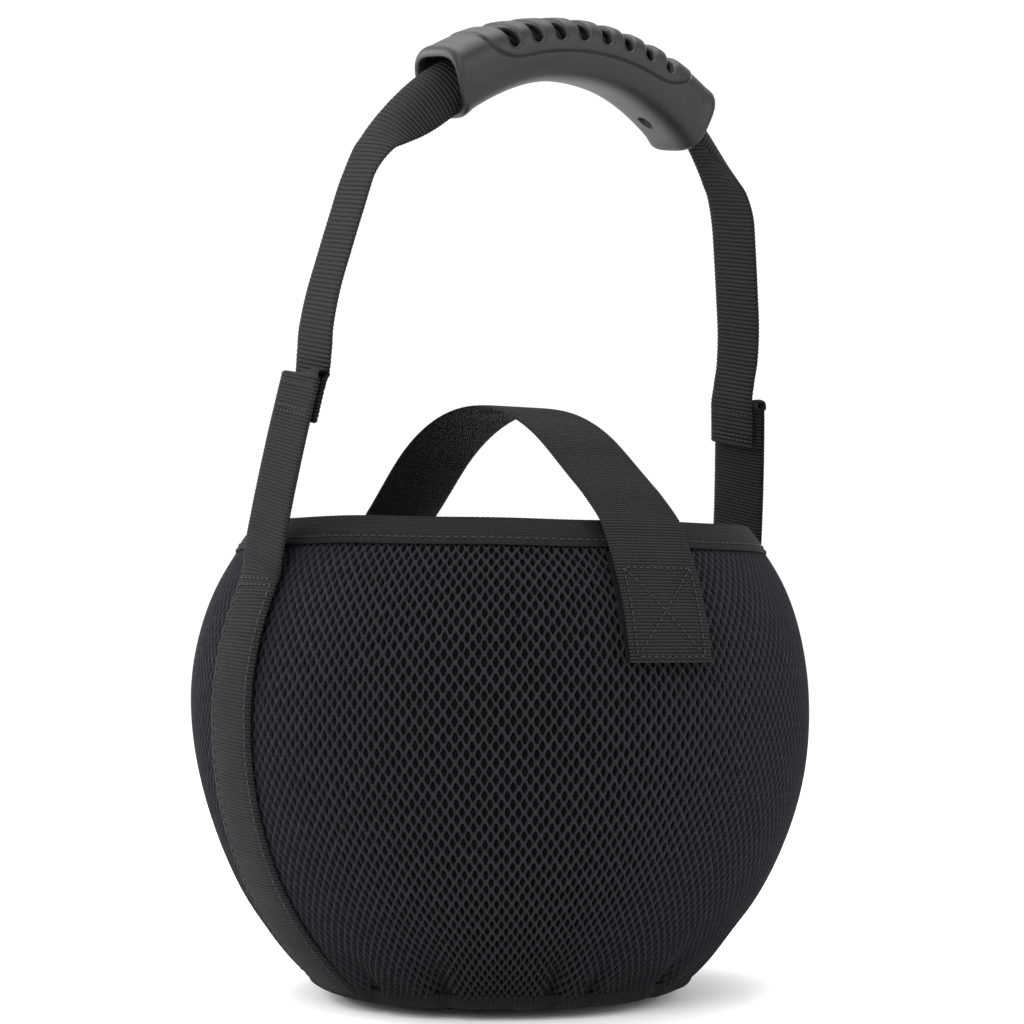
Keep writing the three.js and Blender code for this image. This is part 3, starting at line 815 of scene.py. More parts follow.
def resample(points, step):
    """Points at an even step along a smooth line through a few points."""
    def through(values, t):
        index = np.clip(t.astype(int), 0, len(values) - 2)
        f = (t - index)[:, None]
        before = values[np.maximum(index - 1, 0)]
        first = values[index]
        second = values[index + 1]
        after = values[np.minimum(index + 2, len(values) - 1)]
        return 0.5 * (
            2 * first + (second - before) * f
            + (2 * before - 5 * first + 4 * second - after) * f ** 2
            + (3 * first - before - 3 * second + after) * f ** 3
        )
    fine = through(points, np.linspace(0, len(points) - 1, 60 * len(points)))
    steps = np.linalg.norm(np.diff(fine, axis=0), axis=1)
    distance = np.concatenate([[0.0], np.cumsum(steps)])
    even = np.linspace(0, distance[-1], max(int(distance[-1] / step), 2) + 1)
    return np.stack([np.interp(even, distance, fine[:, axis]) for axis in range(3)], axis=-1)


PRESS_DEPTH = 0.34       # how far a row of stitches pulls the webbing in
PRESS_REACH = 0.85       # and how far to each side


def pressed(line, u, rows):
    """How deep rows of stitches pull the webbing in. A row is (place, place, side, side)."""
    depth = np.zeros_like(u)
    for place_start, place_end, from_side, to_side in rows:
        run = np.array([place_end - place_start, to_side - from_side])
        length = max(np.hypot(*run), 1e-6)
        along = line.distance[:, None] - place_start
        beside = u - from_side
        share = np.clip((along * run[0] + beside * run[1]) / length ** 2, 0, 1)
        away = np.hypot(along - share * run[0], beside - share * run[1])
        depth = np.maximum(depth, PRESS_DEPTH * np.exp(-(away / PRESS_REACH) ** 2))
    return depth


def strap(name, line, width, thickness, rib, material, lanes=16, rows=()):
    """A ribbed strap with scalloped edges along a line, pulled in along its rows of stitches."""
    across = np.linspace(-1, 1, lanes + 1)
    wave = np.abs(np.sin(math.pi * line.distance / rib)) ** 0.7
    half = width / 2 + 0.28 * (wave - 0.5)
    rounding = np.sqrt(np.clip(1 - np.abs(across) ** 7, 0.02, 1))
    half_thickness = thickness / 2 * rounding[None, :] + 0.10 * (wave[:, None] - 0.6)
    u = half[:, None] * across[None, :]
    top, _ = line.surface(line.distance, u, half_thickness - pressed(line, u, rows))
    bottom, _ = line.surface(line.distance, u, -half_thickness)
    sections = np.concatenate([top, bottom[:, ::-1]], axis=1)
    piece = sweep(name, sections, material)
    grid_across = np.concatenate([u, u[:, ::-1]], axis=1) + width
    grid_along = np.broadcast_to(line.distance[:, None], grid_across.shape)
    set_uv(piece, np.stack([grid_across.ravel(), grid_along.ravel()], axis=-1))
    return piece


STITCH_STATIONS = np.array([0.0, 0.12, 0.35, 0.65, 0.88, 1.0])     # places along one stitch
STITCH_SWELL = np.array([0.25, 0.75, 1.0, 1.0, 0.75, 0.25])        # and its thickness there
STITCH_RING = 6


def along_run(place, distance, values):
    """Vectors at places along a run, between those at its own points."""
    return np.stack([np.interp(place, distance, values[:, axis]) for axis in range(3)], axis=-1)


def one_stitch(place, distance, line, normals, radius):
    """The rings of one arched stitch, thin where it dives into the cloth."""
    middle = along_run(place, distance, line)
    up = unit(along_run(place, distance, normals))
    side = unit(np.cross(unit(np.gradient(middle, axis=0)), up))
    swell = STITCH_SWELL[:, None] * radius
    lift = np.sin(math.pi * STITCH_STATIONS)[:, None] * 0.35 * radius
    lift = lift - 0.5 * radius * (1 - swell / radius)
    angles = np.linspace(0, TAU, STITCH_RING, endpoint=False)[:, None]
    return [
        middle[station] + up[station] * lift[station]
        + swell[station] * (np.cos(angles) * side[station] + np.sin(angles) * up[station])
        for station in range(len(STITCH_STATIONS))
    ]


def stitches(name, body, runs, length=2.4, gap=0.9, radius=0.32):
    """Rows of thread. Each run is (points, normals) on a surface, at an even small step."""
    points, faces = [], []
    stations = len(STITCH_STATIONS)
    for line, normals in runs:
        steps = np.linalg.norm(np.diff(line, axis=0), axis=1)
        distance = np.concatenate([[0.0], np.cumsum(steps)])
        count = int((distance[-1] - length) / (length + gap)) + 1
        for index in range(max(count, 0)):
            place = index * (length + gap) + STITCH_STATIONS * length
            first = len(points) * STITCH_RING
            points += one_stitch(place, distance, line, normals, radius)
            faces += grid_faces(stations, STITCH_RING, first, close_columns=True)
            faces.append([first + corner for corner in range(STITCH_RING)][::-1])
            faces.append([first + (stations - 1) * STITCH_RING + corner
                          for corner in range(STITCH_RING)])
    piece = make_piece(name, np.concatenate(points), faces, THREAD)
    attach(piece, body, "webbing")


def cross_run(line, place_start, place_end, from_side, to_side, lift, step=0.5):
    """A straight row from one place and side of a strap to another."""
    length = math.hypot(place_end - place_start, to_side - from_side)
    t = np.linspace(0, 1, max(int(length / step), 2))
    place = place_start + (place_end - place_start) * t
    offset = from_side + (to_side - from_side) * t
    return line.surface(place, offset, np.full(len(t), lift))


# ---- handle: side webbing, lower strap, upper strap ----

GRIP_CURL = 0.085        # how tightly the webbing rolls up inside the grip, as one over its radius
SLOT_LIFT = 7.4          # how far its crest lies above the grip's middle line under the slots
# At the left and right mouth: how far its face turns to the front, and how far its crest lies
# above the grip's middle line and in front of it.
MOUTH = {-1: (math.radians(50), 1.4, 4.0), 1: (math.radians(25), 3.6, 2.0)}


STRAP_SLOPE = 0.079      # how fast the handle's straps lean in, for each millimetre along
STRAP_BOW = 0.00058      # and how fast they curve in


def strap_x(along):
    """How far a handle strap lies from the middle, at a distance above the bar tack."""
    return BAR_TACK_X - STRAP_SLOPE * along - STRAP_BOW * along * along


def lean(x, along, forward=0.0):
    """A point of the handle's leaning plane, in the frame's axes."""
    return (
        x,
        BAR_TACK_Y - along * math.sin(HANDLE_LEAN) - forward * math.cos(HANDLE_LEAN),
        BAR_TACK_HEIGHT + along * math.cos(HANDLE_LEAN) - forward * math.sin(HANDLE_LEAN),
    )


def side_line(side):
    """From the base seam up the side, over the bar tack, up to the fold and back inside it."""
    heights = np.linspace(SEAM_HEIGHT - 1.5, BAR_TACK_HEIGHT - 6, 26)
    radius, level = profile(heights, 0.35 + WEBBING_THICKNESS / 2)
    forward = BAR_TACK_Y * smoothstep(20, BAR_TACK_HEIGHT, heights)
    points = [(side * r, y, z) for r, y, z in zip(radius, forward, level)]
    points += [lean(side * strap_x(along), along) for along in (2, 10, 20, 32, 45, 58, FOLD_HEIGHT - 1)]
    return points


def hem_line(side):
    """Round the fold and down inside the lower strap."""
    middle = strap_x(FOLD_HEIGHT) - WEBBING_LAYER / 2
    points = [lean(side * strap_x(FOLD_HEIGHT - 1), FOLD_HEIGHT - 1)]
    for degrees in (20, 60, 90, 120, 160):
        angle = math.radians(degrees)
        points.append(lean(
            side * (middle + WEBBING_LAYER / 2 * math.cos(angle)),
            FOLD_HEIGHT + WEBBING_LAYER / 2 * math.sin(angle) * 1.2,
        ))
    for along in (FOLD_HEIGHT - 3, FOLD_HEIGHT - 9, FOLD_HEIGHT - HEM_LENGTH):
        points.append(lean(side * (strap_x(along) - WEBBING_LAYER), along))
    return points


def mouth_of(side):
    """(x, distance along the handle) of the middle of the grip's mouth."""
    centre = GRIP_ARC_HEIGHT - GRIP_ARC_RADIUS
    x = side * GRIP_ARC_RADIUS * math.sin(GRIP_HALF_ANGLE)
    return x, centre + GRIP_ARC_RADIUS * math.cos(GRIP_HALF_ANGLE)


def upper_line(side):
    """From inside the hem up to the grip and a little way into it."""
    low = FOLD_HEIGHT - HEM_LENGTH
    points = [lean(side * (strap_x(along) - 2 * WEBBING_LAYER), along)
              for along in (low, low + 5, low + 10, FOLD_HEIGHT + 2)]
    points += [lean(side * (strap_x(along) - share * 2 * WEBBING_LAYER), along)
               for along, share in ((FOLD_HEIGHT + 9, 0.7), (FOLD_HEIGHT + 18, 0.25))]
    points += [lean(side * strap_x(along), along)
               for along in (FOLD_HEIGHT + 30, 115, 130, STRAP_TURN_HEIGHT - 6)]
    start = np.array([side * strap_x(STRAP_TURN_HEIGHT), STRAP_TURN_HEIGHT])
    leaving = np.array([side * math.cos(GRIP_HALF_ANGLE), -math.sin(GRIP_HALF_ANGLE)])
    upwards = np.array([side * math.sin(GRIP_HALF_ANGLE), math.cos(GRIP_HALF_ANGLE)])
    _, lift, forward = MOUTH[side]
    mouth = np.array(mouth_of(side)) + lift * upwards
    corner = mouth + leaving * STRAP_BEND_REACH
    for t in np.linspace(0.1, 1.0, 7):
        x, along = (1 - t) ** 2 * start + 2 * t * (1 - t) * corner + t * t * mouth
        points.append(lean(x, along, forward * float(smoothstep(0.2, 1.0, t))))
    centre = GRIP_ARC_HEIGHT - GRIP_ARC_RADIUS
    for back in (3, 6):
        angle = GRIP_HALF_ANGLE - math.radians(back)
        reach = GRIP_ARC_RADIUS + lift
        x, along = side * reach * math.sin(angle), centre + reach * math.cos(angle)
        points.append(lean(x, along, forward))
    return points


def side_strap(side, word):
    """Side webbing and lower strap as one length, turning at the bar tack, where the handle swings, into
    the handle's leaning plane.
    """
    sewn = Line(side_line(side) + hem_line(side)[1:], lambda p: side_outward(p, side), 0.32)
    sewn.curl = sewn_curl(sewn)
    piece = strap(f"side_webbing_{word}_woven", sewn, SIDE_WIDTH, WEBBING_THICKNESS, SIDE_RIB,
                  SIDE_WEBBING, rows=side_rows(sewn))
    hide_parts(f"side_webbing_{word}", f"lower_strap_{word}")
    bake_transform(piece)
    return sewn


def sewn_curl(line):
    """Webbing sewn to the wall bends round it; above the bar tack it is flat."""
    height = np.clip(line.points[:, 2], SEAM_HEIGHT, BAR_TACK_HEIGHT)
    sewn = 1 - smoothstep(BAR_TACK_HEIGHT - 8, BAR_TACK_HEIGHT + 10, line.points[:, 2])
    return 1e-6 + sewn / profile(height)[0]


def side_outward(points, side):
    """Away from the pouch's middle below the fold; the fold turns it over by itself."""
    along = np.gradient(points, axis=0)
    turned = np.cross(np.array([0.0, side, 0.0]), along)
    return turned


def upper_strap(side, word):
    """From the hem to the grip, rolling up and turning as it nears the mouth."""
    line = Line(upper_line(side), lambda p: side_outward(p, side), 0.4)
    mouth_distance = line.distance[-1] - GRIP_ARC_RADIUS * math.radians(6)
    rolled = smoothstep(mouth_distance - 52, mouth_distance - 2, line.distance)
    line.curl = 1e-6 + GRIP_CURL * rolled
    line.face_front(MOUTH[side][0] * rolled)
    piece = strap(f"upper_strap_{word}_woven", line, UPPER_WIDTH, WEBBING_THICKNESS, UPPER_RIB,
                  UPPER_WEBBING, lanes=24)
    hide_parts(f"upper_strap_{word}")
    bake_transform(piece)
    return line


SIDE_ROW_INSET = 2.8     # from the side webbing's edge to its row of stitches


def side_rows(line):
    """Rows down both edges to the base, and the two rows of the bar tack across the top."""
    edge = SIDE_WIDTH / 2 - SIDE_ROW_INSET
    highest = np.argmax(line.points[:, 2])
    top = np.interp(BAR_TACK_HEIGHT - 1, line.points[:highest, 2], line.distance[:highest])
    rows = [(2.0, top, offset, offset) for offset in (-edge, edge)]
    rows += [(place, place, -edge, edge) for place in (top, top - 2.4)]
    return rows


def side_stitching(word, line):
    """The thread along the side webbing's rows."""
    lift = WEBBING_THICKNESS / 2 - 0.5 * PRESS_DEPTH
    stitches(f"side_stitching_{word}", "pouch", [cross_run(line, *row, lift) for row in side_rows(line)])


# Places of the hem's rows of stitches along the handle: two at its bottom, one under the fold.
HEM_ROWS = (
    FOLD_HEIGHT - HEM_LENGTH + 2.4, FOLD_HEIGHT - HEM_LENGTH + 4.0, FOLD_HEIGHT - 2.6,
)


def hem_stitching(side, word):
    """Three rows through the hem, on the outside and the inside."""
    runs = []
    for along in HEM_ROWS:
        for inner in (False, True):
            gap = 2 * WEBBING_LAYER + WEBBING_THICKNESS / 2 if inner else -WEBBING_THICKNESS / 2
            x = side * (strap_x(along) - gap)
            reach = 11.0 if inner else 12.5
            row = np.array([lean(x, along, forward) for forward in np.linspace(-reach, reach, 60)])
            direction = -side if inner else side
            runs.append((row, np.tile([direction, 0.0, 0.0], (60, 1))))
    stitches(f"hem_stitching_{word}", "handle", runs, length=1.8, gap=0.7)


for side, word in ((-1, "left"), (1, "right")):
    sewn_line = side_strap(side, word)
    upper_strap(side, word)
    side_stitching(word, sewn_line)
    hem_stitching(side, word)


# ---- grip ----

def on_arc(radial, across, angle):
    """A point of the grip: radial from the arc's middle line, across to the back, at an angle."""
    centre = GRIP_ARC_HEIGHT - GRIP_ARC_RADIUS
    distance = GRIP_ARC_RADIUS + radial
    x = distance * np.sin(angle)
    along = centre + distance * np.cos(angle)
    y = BAR_TACK_Y - along * math.sin(HANDLE_LEAN) + across * math.cos(HANDLE_LEAN)
    z = BAR_TACK_HEIGHT + along * math.cos(HANDLE_LEAN) + across * math.sin(HANDLE_LEAN)
    return np.stack(np.broadcast_arrays(x, y, z), axis=-1)


SLOT_COUNT = 8
SLOT_PITCH = math.radians(6.15)
SLOT_HALF_WIDTH = 2.35
SLOT_HALF_LENGTH = 19.5
GIRTH_SCALE = 15.5       # millimetres round the section for each radian of its own angle
COVER_HALF_LENGTH = 48.5
COVER_HALF_GIRTH = 24.6
COVER_CORNER = 15.0
GROOVE_DEPTH = 0.85
GROOVE_HALF_WIDTH = 0.5
SCREW_ANGLE = math.radians(28)
SCREW_RECESS = 1.7
SCREW_RADIUS = 2.0
SCREW_DOME = 0.8
BORE_HALF_HEIGHT = 8.4
BORE_HALF_WIDTH = 12.4
BORE_LIP_RADIUS = 1.9
LIP_RADIUS = 2.3
END_SLANT = 0.085        # how much further the lower lip of an end reaches than the upper, in radians


def rounded_box(x, y, half_x, half_y, corner):
    """Distance to a rectangle with rounded corners; negative inside."""
    over_x = np.abs(x) - (half_x - corner)
    over_y = np.abs(y) - (half_y - corner)
    outside = np.hypot(np.maximum(over_x, 0), np.maximum(over_y, 0))
    return outside + np.minimum(np.maximum(over_x, over_y), 0) - corner


def section_reach(turn, squareness):
    """How far a rounded-square section of half size 1 reaches at its own angle."""
    power = np.abs(np.cos(turn)) ** squareness + np.abs(np.sin(turn)) ** squareness
    return power ** (-1 / squareness)


TOP_RADIUS = GRIP_ARC_RADIUS + GRIP_THICKNESS / 2


def slot_distance(angle, turn):
    """Distance to the nearest of the cover's slots, and the offset from that slot's middle."""
    wrapped = (turn + math.pi) % TAU - math.pi
    index = np.round(angle / SLOT_PITCH - 0.5)
    index = np.clip(index, -SLOT_COUNT // 2, SLOT_COUNT // 2 - 1) + 0.5
    beside = (angle - index * SLOT_PITCH) * TOP_RADIUS
    girth = wrapped * GIRTH_SCALE
    over = np.sign(girth) * np.maximum(np.abs(girth) - (SLOT_HALF_LENGTH - SLOT_HALF_WIDTH), 0)
    distance = np.hypot(beside, over)
    return distance - SLOT_HALF_WIDTH, beside, over, np.maximum(distance, 1e-9)


def grip_grid():
    """Angles along and round the grip, with the grid's points drawn onto the slots' edges."""
    even = np.linspace(-GRIP_HALF_ANGLE, GRIP_HALF_ANGLE, 600)
    lip = np.linspace(0, LIP_RADIUS / GRIP_ARC_RADIUS, 14)[1:-1]
    close = np.concatenate([-GRIP_HALF_ANGLE + lip, GRIP_HALF_ANGLE - lip])
    angle, turn = np.meshgrid(
        np.unique(np.concatenate([even, close])),
        np.linspace(0, TAU, 240, endpoint=False),
        indexing="ij",
    )
    gap, beside, over, distance = slot_distance(angle, turn)
    near = np.abs(gap) < 0.22
    angle = np.where(near, angle - gap * beside / distance / TOP_RADIUS, angle)
    turn = np.where(near, turn - gap * over / distance / GIRTH_SCALE, turn)
    return angle, turn


def end_rounding(angle, radius):
    """How far a rounded lip has drawn back at an angle, near either end of the grip."""
    from_end = np.clip((GRIP_HALF_ANGLE - np.abs(angle)) * GRIP_ARC_RADIUS, 0, radius)
    return radius - np.sqrt(radius ** 2 - (radius - from_end) ** 2)


def end_slant(angle, radial):
    """How much further round its arc a point of the grip lies, the ends being cut on a slant."""
    share = smoothstep(0.75, 1.0, np.abs(angle) / GRIP_HALF_ANGLE)
    return angle + np.sign(angle) * share * END_SLANT * (0.5 - radial / GRIP_THICKNESS)


def grip_outside(angle, turn):
    """The outer skin, as (radial, across)."""
    share = np.abs(angle) / GRIP_HALF_ANGLE
    flare = 0.9 * smoothstep(0.3, 0.95, share) + 0.5 * smoothstep(0.9, 0.98, share)
    half_height = GRIP_THICKNESS / 2 - 0.4 + 0.9 * flare
    half_width = GRIP_WIDTH / 2 - 0.5 + flare
    reach = section_reach(turn, 3.1)
    radial = half_height * reach * np.cos(turn)
    across = half_width * reach * np.sin(turn)
    wrapped = (turn + math.pi) % TAU - math.pi
    cover = rounded_box(angle * TOP_RADIUS, wrapped * GIRTH_SCALE,
                        COVER_HALF_LENGTH, COVER_HALF_GIRTH, COVER_CORNER)
    gap = slot_distance(angle, turn)[0]
    push = 0.5 * (1 - smoothstep(-0.6, 0.6, cover))
    push -= GROOVE_DEPTH * np.exp(-(cover / GROOVE_HALF_WIDTH) ** 2)
    push -= 0.6 * np.exp(-(np.maximum(gap, 0) / 0.8) ** 2)
    push -= end_rounding(angle, LIP_RADIUS)
    below = GRIP_ARC_RADIUS - GRIP_THICKNESS / 2
    for side in (-1, 1):
        away = np.hypot((angle - side * SCREW_ANGLE) * below, across) + 99.0 * (np.cos(turn) > 0)
        push -= SCREW_RECESS * (1 - smoothstep(2.1, 2.7, away))
    toward_r = np.sign(np.cos(turn)) * np.abs(radial / half_height) ** 2.1 / half_height
    toward_a = np.sign(np.sin(turn)) * np.abs(across / half_width) ** 2.1 / half_width
    length = np.hypot(toward_r, toward_a)
    return radial + push * toward_r / length, across + push * toward_a / length


def grip_inside(angle, turn):
    """The bore that the webbing runs in, as (radial, across)."""
    share = np.abs(angle) / GRIP_HALF_ANGLE
    widen = 1.3 * smoothstep(0.88, 1.0, share) + end_rounding(angle, BORE_LIP_RADIUS)
    reach = section_reach(turn, 3.5)
    radial = (BORE_HALF_HEIGHT + 0.5 * widen) * reach * np.cos(turn)
    across = (BORE_HALF_WIDTH + 0.5 * widen) * reach * np.sin(turn)
    return radial, across


def grip_piece():
    """The moulded body and its slotted cover as one skin with a bore through it."""
    angle, turn = grip_grid()
    stations, around = angle.shape
    radial, across = grip_outside(angle, turn)
    outer = on_arc(radial, across, end_slant(angle, radial))
    radial, across = grip_inside(angle, turn)
    inner = on_arc(radial, across, end_slant(angle, radial))
    first = stations * around
    gap = slot_distance(angle, turn)[0]
    inside = gap <= 0.02
    after = np.roll(inside, -1, axis=1)
    hole = inside[:-1] & after[:-1] & inside[1:] & after[1:]
    outer_faces = grid_faces(stations, around, close_columns=True)
    inner_faces = grid_faces(stations, around, first, close_columns=True, flip=True)
    faces = []
    for quad, back, gone in zip(outer_faces, inner_faces, hole.ravel()):
        if not gone:
            faces += [quad, back]
    faces += slot_walls(hole, around, first)
    faces += end_ring(0, first, around, True)
    last = (stations - 1) * around
    faces += end_ring(last, first + last, around, False)
    points = np.concatenate([outer.reshape(-1, 3), inner.reshape(-1, 3)])
    points, faces = without_loose_points(points, faces)
    piece = make_piece("grip_moulding", points, faces, PLASTIC)
    attach(piece, "grip", "moulded_plastic", "grip_body", "grip_cover")


def slot_walls(hole, around, first):
    """The faces between the outer and inner skins round every slot."""
    faces = []
    rows = hole.shape[0]
    for row, column in np.argwhere(hole):
        here = row * around + column
        right = row * around + (column + 1) % around
        above = here + around
        above_right = right + around
        sides = (
            (hole[row - 1, column] if row > 0 else False, here, right),
            (hole[row, (column + 1) % around], right, above_right),
            (hole[row + 1, column] if row < rows - 1 else False, above_right, above),
            (hole[row, column - 1], above, here),
        )
        for open_beyond, a, b in sides:
            if not open_beyond:
                faces.append((int(a), int(b), int(first + b), int(first + a)))
    return faces


def without_loose_points(points, faces):
    """Drops the points that no face uses."""
    used = np.unique(np.concatenate([np.asarray(face) for face in faces]))
    place = np.full(len(points), -1)
    place[used] = np.arange(len(used))
    return points[used], [tuple(int(place[corner]) for corner in face) for face in faces]


def end_ring(outer, inner, around, flip):
    """The faces between the outer and inner skins at an end of the grip."""
    faces = []
    for column in range(around):
        after = (column + 1) % around
        quad = (outer + column, outer + after, inner + after, inner + column)
        faces.append(quad[::-1] if flip else quad)
    return faces


def grip_webbing():
    """The strap's stretch inside the grip, which shows through the slots."""
    inside = GRIP_HALF_ANGLE - math.radians(6.3)
    points = []
    for angle in np.linspace(-inside, inside, 24):
        near_end = float(smoothstep(math.radians(20), inside, abs(angle)))
        _, lift, forward = MOUTH[-1 if angle < 0 else 1]
        points.append(on_arc(SLOT_LIFT + (lift - SLOT_LIFT) * near_end, -forward * near_end, angle))
    line = Line(points, lambda p: np.cross([0.0, -1.0, 0.0], np.gradient(p, axis=0)), 0.4)
    line.curl = line.curl + GRIP_CURL
    from_middle = 2 * line.distance / line.distance[-1] - 1
    turn = np.where(from_middle < 0, MOUTH[-1][0], MOUTH[1][0])
    line.face_front(turn * smoothstep(0.65, 1.0, np.abs(from_middle)))
    piece = strap("grip_webbing_woven", line, UPPER_WIDTH, WEBBING_THICKNESS, UPPER_RIB, UPPER_WEBBING,
                  lanes=24)
    attach(piece, "grip", "webbing", "grip_webbing")


def grip_screw(side, word):
    """A small domed head with a cross recess, under the end of the grip."""
    angle = side * SCREW_ANGLE
    rings, spokes = 14, 48
    distance = np.linspace(0.02, SCREW_RADIUS, rings)[None, :]
    turn = np.linspace(0, TAU, spokes, endpoint=False)[:, None]
    x, y = distance * np.cos(turn), distance * np.sin(turn)
    cross = np.minimum(np.abs(x), np.abs(y)) < 0.32
    dome = SCREW_DOME * np.sqrt(1 - (distance / (1.1 * SCREW_RADIUS)) ** 2)
    height = dome - SCREW_DOME * cross * (distance < 0.7 * SCREW_RADIUS)
    floor_radial = -(GRIP_THICKNESS / 2 + 0.2 - SCREW_RECESS)
    radial_top = floor_radial - height
    radial_back = np.full_like(height, floor_radial + 0.4)
    arc = GRIP_ARC_RADIUS - GRIP_THICKNESS / 2
    top = on_arc(radial_top, y, angle + x / arc)
    back = on_arc(radial_back, y, angle + x / arc)
    sections = np.concatenate([top, back[:, ::-1]], axis=1)
    piece = sweep(f"grip_screw_{word}_head", sections, SCREW, closed_path=True)
    attach(piece, "grip", "screw_metal", f"grip_screw_{word}")


grip_piece()
grip_webbing()
grip_screw(-1, "left")
grip_screw(1, "right")


# ---- closing strap ----

def crown_points(front):
    """(y, z) from the rim to the top of the crown, straight off the rim and then round the ball."""
    offset = TAB_OFFSET if front else ANCHOR_OFFSET
    rim_r, rim_z = (float(value) for value in profile(CLOSING_RIM_HEIGHT - 0.5, offset))
    far = math.hypot(rim_r, rim_z - BALL_CENTRE_HEIGHT)
    rim_angle = math.atan2(rim_r, rim_z - BALL_CENTRE_HEIGHT)
    touch = rim_angle - math.acos(CROWN_RADIUS / far)
    points = [(rim_r, rim_z)]
    touch_y = CROWN_RADIUS * math.sin(touch)
    touch_z = BALL_CENTRE_HEIGHT + CROWN_RADIUS * math.cos(touch)
    for share in (0.25, 0.5, 0.75):
        points.append((rim_r + share * (touch_y - rim_r), rim_z + share * (touch_z - rim_z)))
    for angle in np.linspace(touch, 0, 8):
        points.append((
            CROWN_RADIUS * math.sin(angle),
            BALL_CENTRE_HEIGHT + CROWN_RADIUS * math.cos(angle),
        ))
    return points


def closing_line():
    """The whole strap's middle line, from the anchor's bottom over the crown to the stuck end."""
    def panel(bottom, offset):
        heights = np.linspace(bottom, CLOSING_RIM_HEIGHT - 3.5, 9)
        radius, level = profile(heights, offset)
        return list(zip(radius, level))
    rear = panel(ANCHOR_BOTTOM, ANCHOR_OFFSET - 1.6) + crown_points(False)[1:]
    front = panel(TAB_BOTTOM, TAB_OFFSET) + crown_points(True)[1:]
    points = [(y, z) for y, z in rear]
    points += [(-y, z) for y, z in front[::-1][1:]]
    return [slanted(0.0, y, z) for y, z in points]


def slanted(x, y, z):
    """A point of the closing strap, turned with it about the vertical axis."""
    cosine, sine = math.cos(CLOSING_SLANT), math.sin(CLOSING_SLANT)
    return (x * cosine + y * sine, y * cosine - x * sine, z)


def outward_from_middle(points):
    along = np.gradient(points, axis=0)
    return np.cross(along, slanted(1.0, 0.0, 0.0))


WHOLE = Line(closing_line(), outward_from_middle, 0.29)


def cut_line(start, end):
    """A stretch of the closing strap between two distances along it."""
    part = object.__new__(Line)
    keep = (WHOLE.distance >= start) & (WHOLE.distance <= end)
    for name in ("points", "along", "side", "normal", "distance", "curl"):
        setattr(part, name, getattr(WHOLE, name)[keep])
    return part


def distance_near(y, z):
    """The distance along the closing strap of its point nearest to (y, z)."""
    gap = np.linalg.norm(WHOLE.points - slanted(0.0, y, z), axis=1)
    return WHOLE.distance[np.argmin(gap)]


BOX_INSET = 2.8          # from the strap's edge to the stitched box
BOX_LENGTH = 31.0
ANCHOR_BOX = (2.0, 2.0 + BOX_LENGTH)
TAB_BOX = (WHOLE.distance[-1] - 2.0 - BOX_LENGTH, WHOLE.distance[-1] - 2.0)


def box_rows(box):
    """A stitched box with a cross in it, between two places along the strap."""
    low, high = box
    half = CLOSING_WIDTH / 2 - BOX_INSET
    return [
        (low, high, -half, -half), (low, high, half, half),
        (low, low, -half, half), (high, high, -half, half),
        (low, high, -half, half), (low, high, half, -half),
    ]


def closing_strap():
    """The strap over the ball in three pieces, cut halfway between each rim and the top of the crown."""
    rear_rim = distance_near(*profile(CLOSING_RIM_HEIGHT, ANCHOR_OFFSET))
    top = distance_near(0.0, BALL_CENTRE_HEIGHT + CROWN_RADIUS)
    front_rim = distance_near(-profile(CLOSING_RIM_HEIGHT, TAB_OFFSET)[0],
                              profile(CLOSING_RIM_HEIGHT, TAB_OFFSET)[1])
    rear_cut = snap((rear_rim + top) / 2)
    front_cut = snap((front_rim + top) / 2)
    parts = [
        ("closing_strap_rear_woven", 0.0, rear_cut, ("pouch", "crown_rear"), rear_rim, 7.0,
         ("closing_strap_anchor",)),
        ("closing_strap_crown_woven", rear_cut, front_cut, ("crown_rear", "crown_front"), top, 16.0,
         ("closing_strap_rear", "closing_strap_front")),
        ("closing_strap_end_woven", front_cut, WHOLE.distance[-1], ("crown_front", "tab"),
         front_rim, 6.0, ("closing_strap_tab",)),
    ]
    for name, start, end, bodies, hinge, reach, nodes in parts:
        piece = strap(name, cut_line(start - 0.01, end + 0.16), CLOSING_WIDTH, CLOSING_THICKNESS,
                      CLOSING_RIB, CLOSING_WEBBING, lanes=40,
                      rows=box_rows(TAB_BOX) + box_rows(ANCHOR_BOX))
        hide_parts(*nodes)
        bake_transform(piece)


def snap(distance):
    """The nearest station of the strap to a distance."""
    return WHOLE.distance[np.argmin(np.abs(WHOLE.distance - distance))]


closing_strap()


def box_x_stitching():
    """The stitched box with a cross near the strap's end, and its twin on the anchor."""
    lift = CLOSING_THICKNESS / 2 - 0.5 * PRESS_DEPTH
    boxes = ((TAB_BOX, "tab", "tab_stitching"), (ANCHOR_BOX, "pouch", "anchor_stitching"))
    for box, body, name in boxes:
        runs = [cross_run(WHOLE, *row, lift) for row in box_rows(box)]
        stitches(name, body, runs, length=1.9, gap=0.7, radius=0.30)


box_x_stitching()


# ---- hook and loop patches ----

PATCH_WIDTH = 30.0


